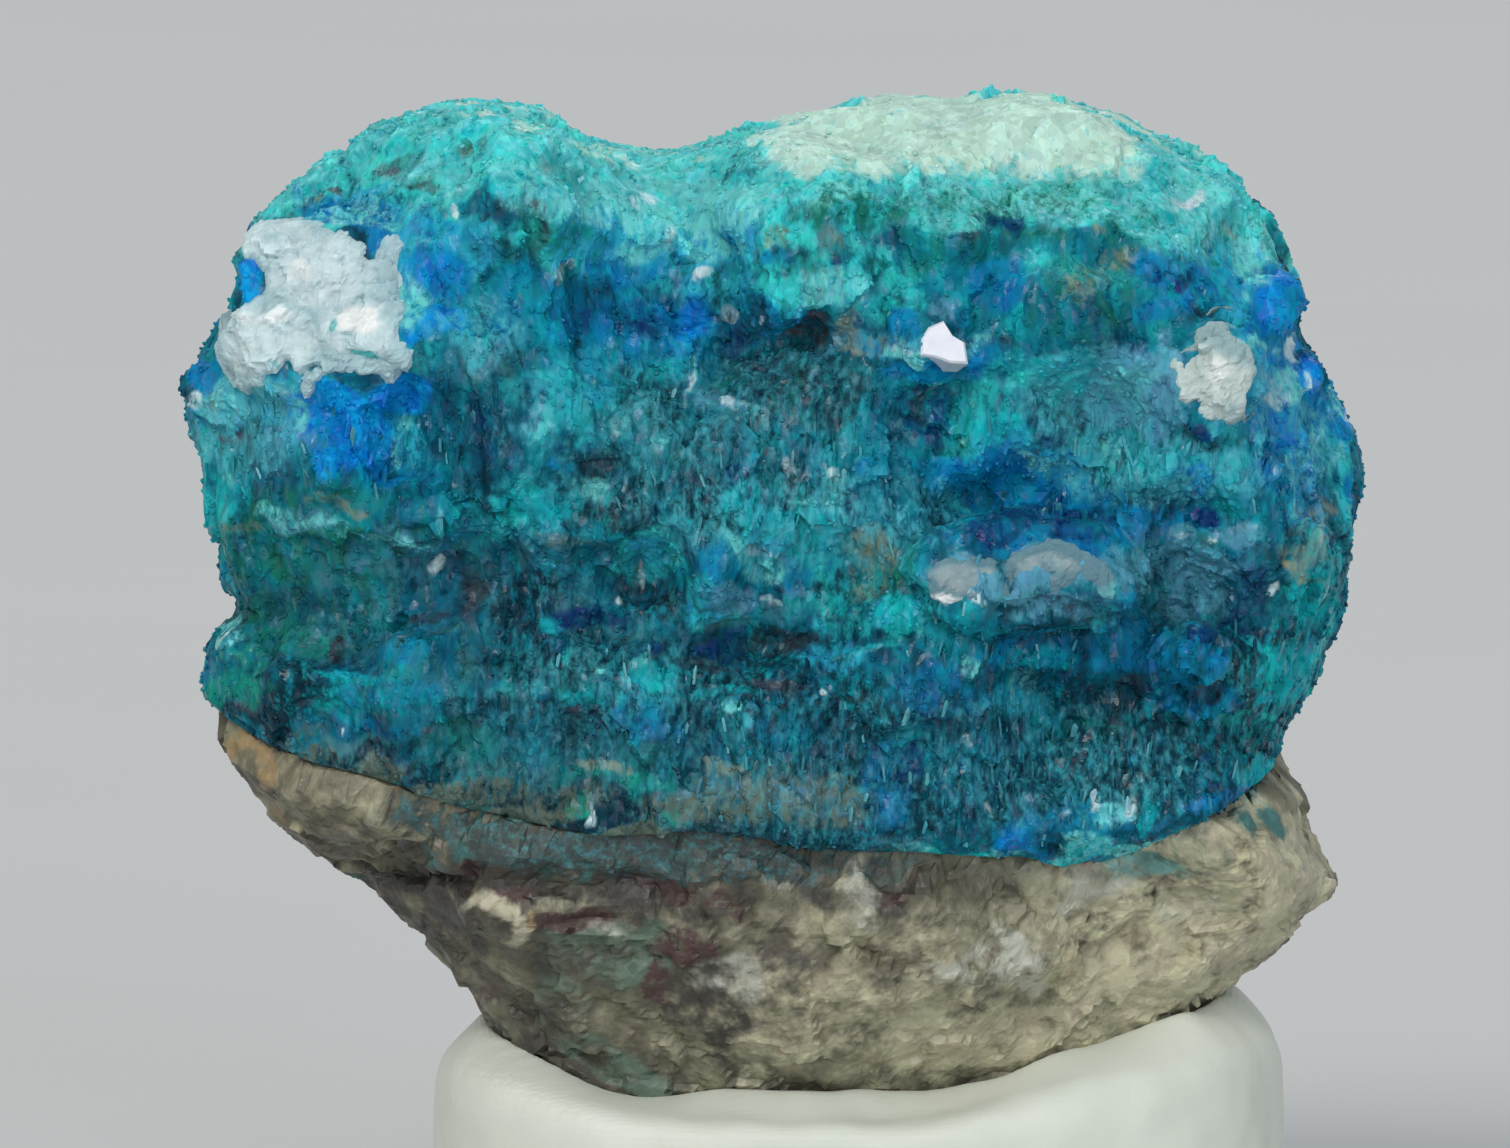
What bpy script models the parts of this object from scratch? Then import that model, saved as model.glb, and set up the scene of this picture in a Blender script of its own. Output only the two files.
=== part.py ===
"""Papagoite on quartz: a thumbnail-sized mineral specimen set upright in a lump of mounting putty.

Metres, +Z up, the blue face looks towards -Y. The origin is under the middle of the specimen, on the
putty's flat foot. Sizes below are in millimetres and are turned to metres where a mesh is made.
"""

import math
import random

import bmesh
import bpy
from mathutils import Matrix, Vector, noise
from mathutils.bvhtree import BVHTree

MM = 0.001

# The stone
HEART_Z = 12.8  # height of the stone's middle above the foot
FRONT_DEPTH = 5.6  # heart to the blue face
BACK_DEPTH = 5.2  # heart to the back
FACE_ROUNDING = 0.62  # 1 is an ellipsoid, lower is boxier
STEP_BELOW_CRUST = 0.35  # how far the quartz stands back under the crust's lower lip

# Places on the blue face are given as (x, z) where a line of sight from this many degrees above level
# crosses the plane y = 0, before it meets the face.
SIGHT_ELEVATION = 4.0

# The seam between crust and quartz
SEAM = 0.3
LIP_THICKNESS = 1.0
CRUST_GROWTH = 0.5  # how much the crust thickens per millimetre of height
SEAM_WANDER = 0.6
SIDE_WRAP = 7.5  # how far back the crust reaches round the stone's two sides
SIDE_WRAP_FROM = 6.5  # distance from the middle where it starts to
LIP_CURVE = 0.35  # height over which the lip takes most of its thickness
EXIT_SLOPE = 3.0  # how fast the seam runs out of the face below the crust's edge
SEAM_REACH = (13.5, 13.0)  # half width and half height of the sheet that cuts it
SEAM_MIDDLE_Z = 12.5
SEAM_GRID = (60, 100)

# Voxel that closes a roughened surface into one clean skin
SKIN_VOXEL = 0.17

# Unevenness of the stone's surface, as (height, size of one flake)
COARSE_FLAKES = (0.75, 2.3)
FINE_FLAKES = (0.45, 1.1)
SWELL = (0.35, 3.2)
FLATTER_QUARTZ = 0.5  # share of the flakes that the quartz lacks

# Triangles kept in each node
CRUST_TRIANGLES = 5000
MATRIX_TRIANGLES = 2600
MASS_TRIANGLES = 240
PUTTY_TRIANGLES = 1400

# The stone's outline from the front, as (x, z), from the left lobe over the top and back underneath.
OUTLINE = [
    (-10.6, 9.9), (-10.7, 11.0), (-10.6, 11.45), (-10.3, 11.6), (-9.9, 11.7), (-9.85, 12.05),
    (-10.4, 12.8), (-10.5, 13.9), (-10.7, 14.9), (-10.95, 15.15), (-11.0, 15.6), (-10.6, 16.65),
    (-10.2, 17.4), (-9.9, 18.2), (-9.75, 18.9), (-9.3, 19.2), (-9.2, 19.6), (-8.8, 19.9),
    (-8.1, 20.2), (-7.75, 20.65), (-6.9, 20.95), (-5.5, 21.2), (-4.65, 21.1), (-4.0, 20.75),
    (-3.4, 20.6), (-2.0, 20.4), (-1.2, 20.4), (-0.6, 20.7), (0.7, 21.15), (2.3, 21.4),
    (3.3, 21.3), (4.5, 21.45), (5.3, 21.3), (6.4, 20.95), (7.2, 20.5), (8.3, 20.05),
    (8.7, 19.8), (9.1, 19.15), (9.5, 18.3), (9.8, 17.85), (9.85, 17.35), (9.5, 16.8),
    (9.8, 16.6), (10.1, 16.45), (10.2, 16.0), (10.8, 15.2), (11.0, 14.1), (10.7, 13.6),
    (10.6, 12.5), (10.5, 11.8), (10.2, 11.1), (10.05, 10.4), (9.5, 9.7), (9.35, 8.9),
    (9.8, 8.35), (9.9, 7.5), (10.5, 6.75), (10.0, 6.3), (9.5, 5.75), (8.6, 5.0),
    (7.4, 4.0), (6.0, 3.2), (4.1, 2.5), (2.3, 2.0), (-0.3, 2.0), (-2.5, 2.3),
    (-4.0, 2.95), (-5.1, 3.8), (-5.7, 4.6), (-6.2, 5.3), (-6.7, 5.9), (-7.5, 6.65),
    (-8.4, 7.2), (-9.3, 7.95), (-9.9, 8.8), (-10.1, 9.35),
]

# The crust's lower edge across the blue face, as (x, z).
CRUST_EDGE = [
    (-12.0, 10.1), (-10.6, 9.9), (-8.8, 8.9), (-7.0, 8.4), (-5.7, 7.9), (-3.3, 7.4), (-1.4, 7.5),
    (0.8, 7.2), (3.0, 7.1), (5.0, 7.0), (6.0, 6.9), (6.7, 7.2), (7.8, 7.75), (9.4, 8.6), (12.0, 9.4),
]

# The worn flat along the top of the face, as (normal, distance from the heart). It stays smoother than
# the rest.
TOP_FLAT = ((0.12, -0.6, 0.79), 8.75)

# Broken faces of the stone, in the same terms. What stands past one is cut flat.
BREAKS = [
    TOP_FLAT,
    ((-0.55, -0.6, 0.58), 9.7),
    ((-0.8, -0.55, 0.1), 10.1),
    ((0.85, -0.5, 0.15), 9.9),
    ((-0.2, -0.88, -0.42), 7.7),
    ((0.2, -0.87, -0.45), 7.9),
    ((0.05, 0.6, 0.8), 7.9),
    ((0.75, 0.62, 0.2), 8.9),
    ((-0.7, 0.7, 0.1), 8.4),
    ((0.1, 0.75, -0.65), 7.6),
    ((-0.15, 0.98, 0.1), 4.9),
]

# Lumps and hollows of the face, as (x, z, half width, half height, rise towards the viewer).
LUMPS = [
    (-5.9, 19.6, 2.4, 1.5, 0.9),  # left dome
    (-1.9, 19.4, 1.3, 2.2, -1.5),  # gully between the domes
    (-3.9, 18.0, 1.6, 1.2, -0.5),
    (3.6, 19.2, 3.4, 0.8, 0.5),  # brow under the pale top
    (-2.0, 16.9, 2.2, 0.8, -1.3),  # deep blue hollow under the gully
    (-4.6, 16.4, 1.5, 1.3, 0.5),
    (-8.5, 17.5, 1.8, 1.8, 0.5),  # shoulder that carries the white mass
    (-7.3, 15.0, 1.3, 0.9, -0.8),  # hollow under it
    (0.4, 16.6, 1.2, 0.6, -0.9),  # brown hollow
    (2.8, 15.3, 0.6, 0.8, -0.9),
    (2.9, 16.6, 0.9, 0.5, 0.5),  # seat of the bright crystal
    (5.6, 17.4, 1.8, 1.1, 0.5),
    (7.9, 16.0, 1.2, 0.9, 0.3),
    (6.0, 15.0, 1.4, 0.6, -0.5),
    (4.5, 13.7, 2.3, 0.65, -1.3),  # blue slot above the grey arch
    (4.6, 12.3, 2.0, 0.6, 0.7),  # grey arch
    (7.9, 13.7, 0.9, 0.5, -0.8),
    (7.8, 12.5, 1.2, 0.9, -0.7),
    (7.5, 10.8, 0.75, 0.75, 0.7),  # blue ball
    (9.2, 13.2, 1.1, 1.6, 0.4),
    (-6.3, 13.35, 3.4, 0.3, 0.45),  # pale ledge
    (-8.2, 12.1, 2.0, 0.9, -0.8),  # smooth groove into the notch
    (-5.3, 12.0, 0.9, 1.5, -0.7),
    (-9.3, 10.6, 1.2, 0.8, 0.6),  # left lobe
    (-3.2, 12.2, 1.2, 0.7, -0.8),
    (-1.0, 12.6, 0.9, 0.8, 0.8),
    (-0.3, 11.2, 1.2, 0.55, -1.1),  # brown hollow under the middle knob
    (-1.5, 14.6, 1.5, 0.8, 0.5),
    (1.6, 13.9, 1.0, 0.9, 0.4),
    (-6.5, 10.4, 1.7, 0.8, 0.5),
    (-3.6, 10.3, 1.3, 0.8, 0.4),
    (3.0, 10.6, 1.4, 0.9, 0.45),
    (5.4, 9.6, 1.1, 1.0, -0.5),
    (1.2, 9.2, 1.6, 0.7, -0.4),
    (4.6, 7.9, 3.8, 0.6, 0.35),  # thick lower lip
    (-8.6, 8.4, 1.1, 0.5, 0.4),  # quartz from here down
    (-7.1, 7.2, 0.9, 0.6, -0.5),
    (-5.2, 6.4, 0.7, 1.2, 0.45),
    (-3.6, 6.8, 1.6, 0.5, -0.5),
    (2.0, 5.2, 2.6, 1.5, 0.5),
    (6.9, 6.2, 1.5, 0.8, -0.3),
    (8.8, 6.9, 1.0, 0.8, 0.5),
]

# White and grey masses of altered feldspar: name -> (x, z, half width, half height, half depth, proud).
MASSES = {
    "albite_mass_left": (-8.2, 17.35, 1.9, 1.85, 1.3, 0.35),
    "albite_mass_right": (7.8, 16.1, 1.1, 0.9, 1.0, 0.3),
    "albite_mass_lower": (4.55, 12.5, 2.05, 0.85, 1.0, 0.2),
}

# Where larger blue crystals stand on the crust, as (x, z, spread, how many, longest side).
CRYSTAL_GROUPS = [
    (9.2, 17.4, 0.45, 5, 1.5),
    (9.5, 15.9, 0.25, 3, 1.0),
    (-7.5, 15.0, 0.9, 7, 1.7),
    (-10.3, 15.9, 0.3, 3, 1.2),
    (8.6, 15.0, 0.6, 4, 1.3),
    (-1.6, 17.0, 0.8, 5, 1.5),
    (7.5, 10.8, 0.4, 4, 1.2),
    (-6.6, 11.0, 0.5, 3, 1.1),
    (2.7, 16.55, 0.15, 2, 1.6),
    (5.3, 8.2, 0.8, 4, 1.2),
]

# Shape of one crystal block: width and thickness for each length, how far it slants, and the largest
# angle it leans by in radians
CRYSTAL_WIDTH = 0.62
CRYSTAL_THICKNESS = 0.45
CRYSTAL_SHEAR = 0.3
CRYSTAL_LEAN = 0.9

# The putty
PUTTY_LEFT = -6.35
PUTTY_RIGHT = 9.35
PUTTY_FRONT = -5.0
PUTTY_BACK = 5.4
PUTTY_STEP_FRONT = -0.5  # the rim climbs from its front height to its back height between these
PUTTY_STEP_BACK = 3.0
PUTTY_ROUNDING = 0.5
PUTTY_WAIST = 2.3  # height where the lump is widest
# Height of the lump's rim along X, at the front and at the back
FRONT_RIM = [
    (-6.4, 4.9), (-5.1, 4.2), (-4.0, 3.5), (-2.5, 3.0), (2.3, 2.75), (4.1, 3.2), (6.0, 4.0),
    (7.5, 4.6), (9.4, 5.4),
]
BACK_RIM = [(-6.4, 4.9), (-3.0, 5.3), (2.0, 5.6), (6.0, 5.5), (9.4, 5.4)]

# Colours: name -> (base colour, roughness)
FINISHES = {
    "papagoite": ((0.03, 0.29, 0.38, 1), 0.45),
    "quartz": ((0.32, 0.29, 0.23, 1), 0.6),
    "albite": ((0.66, 0.68, 0.66, 1), 0.7),
    "putty": ((0.80, 0.82, 0.78, 1), 0.65),
}


def clear_scene():
    for obj in list(bpy.data.objects):
        bpy.data.objects.remove(obj)


def new_collection(name, hidden=False):
    collection = bpy.data.collections.new(name)
    bpy.context.scene.collection.children.link(collection)
    collection.hide_render = hidden
    return collection


def finish(name):
    """The Principled material of one of the FINISHES."""
    material = bpy.data.materials.get(name) or bpy.data.materials.new(name)
    material.use_nodes = True
    shader = material.node_tree.nodes["Principled BSDF"]
    colour, roughness = FINISHES[name]
    shader.inputs["Base Color"].default_value = colour
    shader.inputs["Roughness"].default_value = roughness
    return material


def link(obj, collection):
    """Puts the object in the collection, as a wire left out of the render where that one holds helpers."""
    collection.objects.link(obj)
    obj.hide_render = collection.hide_render
    obj.display_type = "WIRE" if collection.hide_render else "TEXTURED"
    return obj


def object_from(bm, name, collection):
    """A new object from the bmesh, which is in millimetres."""
    bmesh.ops.scale(bm, vec=(MM, MM, MM), verts=bm.verts)
    mesh = bpy.data.meshes.new(name)
    bm.to_mesh(mesh)
    bm.free()
    return link(bpy.data.objects.new(name, mesh), collection)


def apply_modifiers(obj):
    """Keeps what the object's modifiers make of its mesh, and removes them."""
    bpy.context.view_layer.update()
    evaluated = obj.evaluated_get(bpy.context.evaluated_depsgraph_get())
    shaped = bpy.data.meshes.new_from_object(evaluated)
    obj.modifiers.clear()
    obj.data = shaped
    return obj


def combine(obj, other, operation):
    """Cuts the object by another, or joins the other to it. The other may be a whole collection."""
    boolean = obj.modifiers.new(operation.title(), "BOOLEAN")
    boolean.operation = operation
    if isinstance(other, bpy.types.Collection):
        boolean.operand_type = "COLLECTION"
        boolean.collection = other
    else:
        boolean.object = other
    return apply_modifiers(obj)


def clean_skin(obj):
    """Remeshes the object into one skin that nowhere passes through itself, as Booleans need."""
    remesh = obj.modifiers.new("Skin", "REMESH")
    remesh.mode = "VOXEL"
    remesh.voxel_size = SKIN_VOXEL * MM
    return apply_modifiers(obj)


def copy_of(obj, name, collection):
    copy = obj.copy()
    copy.data = obj.data.copy()
    copy.name = name
    return link(copy, collection)


def grown_copy(obj, distance, collection):
    """A copy whose surface stands out by this distance, to cut a pocket that leaves a gap."""
    copy = copy_of(obj, obj.name + "_grown", collection)
    displace = copy.modifiers.new("Grow", "DISPLACE")
    displace.strength = distance * MM
    displace.mid_level = 0.0
    return clean_skin(copy)


def thin_out(obj, triangles):
    """Merges the flattest triangles until about this many are left."""
    bm = bmesh.new()
    bm.from_mesh(obj.data)
    bmesh.ops.remove_doubles(bm, verts=bm.verts, dist=0.01 * MM)
    bmesh.ops.triangulate(bm, faces=bm.faces)
    bm.to_mesh(obj.data)
    now = len(bm.faces)
    bm.free()
    if now > triangles:
        decimate = obj.modifiers.new("Thin out", "DECIMATE")
        decimate.ratio = triangles / now
        apply_modifiers(obj)
    return obj


def smooth_step(value):
    value = min(max(value, 0.0), 1.0)
    return value * value * (3 - 2 * value)


def height_along(points, x):
    """The height of a line given as (x, z) points, with x rising."""
    if x <= points[0][0]:
        return points[0][1]
    for (x0, z0), (x1, z1) in zip(points, points[1:]):
        if x <= x1:
            return z0 + (z1 - z0) * (x - x0) / (x1 - x0)
    return points[-1][1]


def outline_reach(angle):
    """How far the outline lies from the heart in this direction, seen from the front."""
    along = Vector((math.cos(angle), math.sin(angle)))
    reach = 0.0
    for (x0, z0), (x1, z1) in zip(OUTLINE, OUTLINE[1:] + OUTLINE[:1]):
        start = Vector((x0, z0 - HEART_Z))
        edge = Vector((x1 - x0, z1 - z0))
        across = along.cross(edge)
        if abs(across) < 1e-9:
            continue
        distance = start.cross(edge) / across
        share = start.cross(along) / across
        if distance > 0 and -1e-6 <= share <= 1 + 1e-6:
            reach = max(reach, distance)
    return reach


def flake_height(point, size):
    """From about -0.5 to 0.5: each cell of a Voronoi pattern is one flat flake with its own tilt."""
    corner = noise.voronoi(point / size)[1][0]
    tilt = noise.cell_vector(corner * 31.7) - Vector((0.5, 0.5, 0.5))
    return (point / size - corner).dot(tilt) + 0.4 * (noise.cell(corner * 17.3) - 0.5)


def seen_height(point):
    """The z at which a line of sight through this point crosses the plane y = 0."""
    return point.z + point.y * math.tan(math.radians(SIGHT_ELEVATION))


def face_relief(x, z):
    """How far the face stands forward here, from its lumps, hollows and the crust's thickness."""
    rise = 0.0
    for centre_x, centre_z, half_width, half_height, lump in LUMPS:
        away = ((x - centre_x) / half_width) ** 2 + ((z - centre_z) / half_height) ** 2
        if away < 6:
            rise += lump * math.exp(-away * away * 0.8)
    below = smooth_step((height_along(CRUST_EDGE, x) + 0.3 - z) / 0.25)
    return rise - STEP_BELOW_CRUST * below


def cut_flat(point, plane, depth=0.0):
    """Moves the point, given from the heart, onto the plane if it stands past it."""
    normal = Vector(plane[0]).normalized()
    past = point.dot(normal) - plane[1] + depth
    return point - normal * max(past, 0.0)


def stone_point(direction):
    """Where the stone's surface lies along this unit direction, before it is roughened."""
    reach = outline_reach(math.atan2(direction.z, direction.x))
    across = math.hypot(direction.x, direction.z)
    spread = across**FACE_ROUNDING * reach / max(across, 1e-9)
    point = Vector((direction.x * spread, 0, direction.z * spread))
    limit = -FRONT_DEPTH if direction.y < 0 else BACK_DEPTH
    point.y = limit * abs(direction.y) ** FACE_ROUNDING
    for plane in BREAKS:
        point = cut_flat(point, plane)
    point.z += HEART_Z
    front = smooth_step(-direction.y / 0.45)
    point.y -= face_relief(point.x, seen_height(point)) * front
    return point


def build_stone(collection):
    """The whole stone before it is parted: crust and quartz in one solid."""
    bm = bmesh.new()
    bmesh.ops.create_icosphere(bm, subdivisions=6, radius=1.0)
    depth_share = [abs(vert.co.y) for vert in bm.verts]
    for vert in bm.verts:
        vert.co = stone_point(vert.co.normalized())
    bm.normal_update()
    moves = []
    for vert, share in zip(bm.verts, depth_share):
        point = vert.co
        in_quartz = smooth_step((height_along(CRUST_EDGE, point.x) - seen_height(point)) / 0.5)
        swell = SWELL[0] * noise.fractal(point / SWELL[1], 1.0, 2.0, 3)
        flakes = sum(rise * flake_height(point, size) for rise, size in (COARSE_FLAKES, FINE_FLAKES))
        height = swell + flakes * (1 - FLATTER_QUARTZ * in_quartz)
        moves.append(vert.normal * height * (0.25 + 0.75 * smooth_step(share / 0.4)))
    heart = Vector((0, 0, HEART_Z))
    for vert, move in zip(bm.verts, moves):
        vert.co = heart + cut_flat(vert.co + move - heart, TOP_FLAT, 0.1)
    return clean_skin(object_from(bm, "stone", collection))


class Face:
    """Finds points on the stone's front, in millimetres."""

    def __init__(self, stone):
        bm = bmesh.new()
        bm.from_mesh(stone.data)
        bmesh.ops.scale(bm, vec=(1 / MM,) * 3, verts=bm.verts)
        self.tree = BVHTree.FromBMesh(bm)
        bm.free()

    def at(self, x, z):
        """The point and the normal that a viewer sees at (x, z)."""
        fall = math.tan(math.radians(SIGHT_ELEVATION))
        point, normal, _, _ = self.tree.ray_cast(Vector((x, -30, z + 30 * fall)), Vector((0, 1, -fall)))
        return point, normal


def frame_on(point, normal, turn):
    """A frame with its origin on the face, Z along the normal and Y turned from upright."""
    turned = normal.to_track_quat("Z", "Y").to_matrix().to_4x4()
    return Matrix.Translation(point) @ turned @ Matrix.Rotation(turn, 4, "Z")


def add_crystals(stone, face, collection):
    """Fuses the larger blue crystals to the crust: short blocks, sheared as a monoclinic crystal is."""
    rng = random.Random(11)
    for group, (x, z, spread, count, longest) in enumerate(CRYSTAL_GROUPS):
        for number in range(count):
            point, normal = face.at(x + rng.uniform(-spread, spread), z + rng.uniform(-spread, spread))
            if point is None:
                continue
            length = longest * rng.uniform(0.6, 1.0)
            bm = bmesh.new()
            bmesh.ops.create_cube(bm, size=1.0)
            size = (length * CRYSTAL_WIDTH, length * CRYSTAL_THICKNESS, length)
            bmesh.ops.scale(bm, vec=size, verts=bm.verts)
            for vert in bm.verts:
                vert.co.x += CRYSTAL_SHEAR * vert.co.z
            lean = Matrix.Rotation(rng.uniform(-CRYSTAL_LEAN, CRYSTAL_LEAN), 4, "X")
            lean @= Matrix.Rotation(rng.uniform(-CRYSTAL_LEAN, CRYSTAL_LEAN), 4, "Y")
            bm.transform(frame_on(point, normal, rng.uniform(0, math.tau)) @ lean)
            object_from(bm, f"crystal_{group}_{number}", collection)
    return combine(stone, collection, "UNION")


def seam_depth(face, x, z):
    """Depth of the sheet between crust and quartz. Below the crust's edge it runs out through the face."""
    point, _ = face.at(max(min(x, 8.8), -9.9), height_along(CRUST_EDGE, x))
    above = z - point.z
    if above < 0:
        return point.y + EXIT_SLOPE * above
    wander = SEAM_WANDER * noise.fractal(Vector((x, 0, z)) / 3.0, 1.0, 2.0, 3)
    wrap = SIDE_WRAP * smooth_step((abs(x) - SIDE_WRAP_FROM) / 3.0)
    lip = (LIP_THICKNESS + wrap) * (1 - math.exp(-above / LIP_CURVE))
    return point.y + lip + CRUST_GROWTH * above + wander * smooth_step(above / 2)


def build_seam(face, collection):
    """The sheet that parts the crust from the quartz, as thick as the gap between them."""
    bm = bmesh.new()
    bmesh.ops.create_grid(bm, x_segments=SEAM_GRID[0], y_segments=SEAM_GRID[1], size=1.0)
    for vert in bm.verts:
        x, z = SEAM_REACH[0] * vert.co.x, SEAM_MIDDLE_Z + SEAM_REACH[1] * vert.co.y
        vert.co = (x, seam_depth(face, x, z), z)
    seam = object_from(bm, "seam", collection)
    solidify = seam.modifiers.new("Gap", "SOLIDIFY")
    solidify.thickness = SEAM * MM
    solidify.offset = 0
    return apply_modifiers(seam)


def islands(bm):
    """The bmesh's separate bodies as lists of faces, largest first.

    Bodies that share only a point are parted.
    """
    left = set(bm.faces)
    found = []
    while left:
        reached = [left.pop()]
        for face in reached:
            for edge in face.edges:
                for other in edge.link_faces:
                    if other in left:
                        left.remove(other)
                        reached.append(other)
        found.append(reached)
    return sorted(found, key=len, reverse=True)


def keep_body(obj, rank=0):
    """Keeps one of the object's separate bodies, counted from the largest, and drops the crumbs."""
    bm = bmesh.new()
    bm.from_mesh(obj.data)
    bmesh.ops.remove_doubles(bm, verts=bm.verts, dist=0.001 * MM)
    for other, body in enumerate(islands(bm)):
        if other != rank:
            bmesh.ops.delete(bm, geom=body, context="FACES")
    bm.to_mesh(obj.data)
    bm.free()
    return obj


def middle_depth(obj):
    return sum(vert.co.y for vert in obj.data.vertices) / len(obj.data.vertices)


def part_stone(stone, collection):
    """The two bodies that the seam left, as (crust, quartz)."""
    pieces = [keep_body(copy_of(stone, f"body_{rank}", collection), rank) for rank in range(2)]
    return sorted(pieces, key=middle_depth)


def build_mass(name, face, collection):
    """A knobbly mass of feldspar, set into the crust with its outer face a little proud."""
    x, z, half_width, half_height, half_depth, proud = MASSES[name]
    bm = bmesh.new()
    bmesh.ops.create_icosphere(bm, subdivisions=4, radius=1.0)
    for vert in bm.verts:
        direction = vert.co.copy()
        ragged = 1 + 0.3 * noise.noise(direction * 1.4 + Vector((x, 0, z)))
        flakes = 0.16 * flake_height(direction * 1.6 + Vector((x, 0, z)), 0.8)
        vert.co = direction * (ragged + flakes)
        vert.co.z = min(vert.co.z, 0.72 + flakes)
    bmesh.ops.scale(bm, vec=(half_width, half_height, half_depth), verts=bm.verts)
    point, normal = face.at(x, z)
    facing = (normal + Vector((0, -2.5, 0))).normalized()
    bm.transform(frame_on(point + facing * (proud - 0.75 * half_depth), facing, 0))
    return object_from(bm, name, collection)


def build_putty(collection):
    """The lump of putty, with a flat foot and a rim that is highest at the stone's two sides."""
    middle_x = (PUTTY_LEFT + PUTTY_RIGHT) / 2
    middle_y = (PUTTY_FRONT + PUTTY_BACK) / 2
    half_x = (PUTTY_RIGHT - PUTTY_LEFT) / 2
    half_y = (PUTTY_BACK - PUTTY_FRONT) / 2
    bm = bmesh.new()
    bmesh.ops.create_uvsphere(bm, u_segments=72, v_segments=36, radius=1.0)
    for vert in bm.verts:
        direction = vert.co.copy()
        across = math.hypot(direction.x, direction.y)
        angle = math.atan2(direction.y, direction.x)
        corner = (abs(math.cos(angle)) ** 2.6 + abs(math.sin(angle)) ** 2.6) ** (1 / 2.6)
        spread = across**PUTTY_ROUNDING / corner
        x = middle_x + half_x * spread * math.cos(angle)
        y = middle_y + half_y * spread * math.sin(angle)
        backward = smooth_step((y - PUTTY_STEP_FRONT) / (PUTTY_STEP_BACK - PUTTY_STEP_FRONT))
        rim = height_along(FRONT_RIM, x) * (1 - backward) + height_along(BACK_RIM, x) * backward
        limit = rim - PUTTY_WAIST if direction.z > 0 else -PUTTY_WAIST * 1.25
        vert.co = (x, y, PUTTY_WAIST + limit * abs(direction.z) ** PUTTY_ROUNDING)
    everything = bm.verts[:] + bm.edges[:] + bm.faces[:]
    cut = bmesh.ops.bisect_plane(
        bm, geom=everything, plane_co=(0, 0, 0), plane_no=(0, 0, -1), clear_outer=True
    )
    rim_edges = [part for part in cut["geom_cut"] if isinstance(part, bmesh.types.BMEdge)]
    bmesh.ops.contextual_create(bm, geom=rim_edges)
    bmesh.ops.recalc_face_normals(bm, faces=bm.faces)
    return object_from(bm, "mounting_putty", collection)


def centre_on_origin(objects):
    """Moves the meshes sideways until the origin is under the middle of their common box."""
    places = [vert.co for obj in objects for vert in obj.data.vertices]
    reach = [[place[axis] for place in places] for axis in (0, 1)]
    middle = [(min(values) + max(values)) / 2 for values in reach]
    for obj in objects:
        obj.data.transform(Matrix.Translation((-middle[0], -middle[1], 0)))


def main():
    clear_scene()
    specimen = new_collection("papagoite specimen")
    cutters = new_collection("cutters", hidden=True)
    crystals = new_collection("crystals", hidden=True)
    pockets = new_collection("pockets", hidden=True)

    stone = build_stone(cutters)
    face = Face(stone)
    masses = [build_mass(name, face, specimen) for name in MASSES]
    for mass in masses:
        grown_copy(mass, SEAM, pockets)
    clean_skin(add_crystals(stone, face, crystals))

    putty = build_putty(specimen)
    keep_body(combine(putty, grown_copy(stone, SEAM, cutters), "DIFFERENCE"))

    combine(stone, build_seam(face, cutters), "DIFFERENCE")
    crust, matrix = [clean_skin(body) for body in part_stone(stone, specimen)]
    crust.name, matrix.name = "papagoite_crust", "quartz_matrix"
    clean_skin(combine(crust, pockets, "DIFFERENCE"))

    nodes = [
        (crust, "papagoite", CRUST_TRIANGLES),
        (matrix, "quartz", MATRIX_TRIANGLES),
        (putty, "putty", PUTTY_TRIANGLES),
        *[(mass, "albite", MASS_TRIANGLES) for mass in masses],
    ]
    for obj, material, triangles in nodes:
        keep_body(thin_out(obj, triangles))
        obj.data.materials.clear()
        obj.data.materials.append(finish(material))
    centre_on_origin([obj for obj, _, _ in nodes])


main()
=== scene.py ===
import math

import bmesh
import bpy
import numpy as np
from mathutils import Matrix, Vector, noise
from mathutils.bvhtree import BVHTree


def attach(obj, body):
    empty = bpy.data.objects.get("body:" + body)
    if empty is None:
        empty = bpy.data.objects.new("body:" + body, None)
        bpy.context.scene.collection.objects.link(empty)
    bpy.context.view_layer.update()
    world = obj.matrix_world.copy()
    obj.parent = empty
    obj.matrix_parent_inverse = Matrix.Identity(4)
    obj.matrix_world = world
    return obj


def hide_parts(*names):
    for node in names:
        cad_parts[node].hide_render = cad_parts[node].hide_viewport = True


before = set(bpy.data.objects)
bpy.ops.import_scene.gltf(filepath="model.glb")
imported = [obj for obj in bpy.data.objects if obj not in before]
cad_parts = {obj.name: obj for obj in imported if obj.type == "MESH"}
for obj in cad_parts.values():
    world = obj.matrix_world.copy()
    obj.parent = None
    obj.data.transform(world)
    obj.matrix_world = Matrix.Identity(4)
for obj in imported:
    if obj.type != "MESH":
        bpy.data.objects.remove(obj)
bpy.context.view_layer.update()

mm = 0.001
lookDown = math.radians(4.0)  # the camera looks down on the face by this much
sightRise = math.tan(lookDown)
towardsCamera = Vector((0, -math.cos(lookDown), math.sin(lookDown)))
wanderSeed = 1795484756  # without a seed the noise vectors follow the clock, and no two runs agree
noise.seed_set(wanderSeed)

# Places on the faces are (x, z) where a line of sight crosses the plane y = 0, in hundredths of a mm.
# A spot is (x, z, half width, half height, amount) and, where it is turned, the turn in degrees.
# Its amount is coverage in percent, or for relief the rise in hundredths of a mm.

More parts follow.
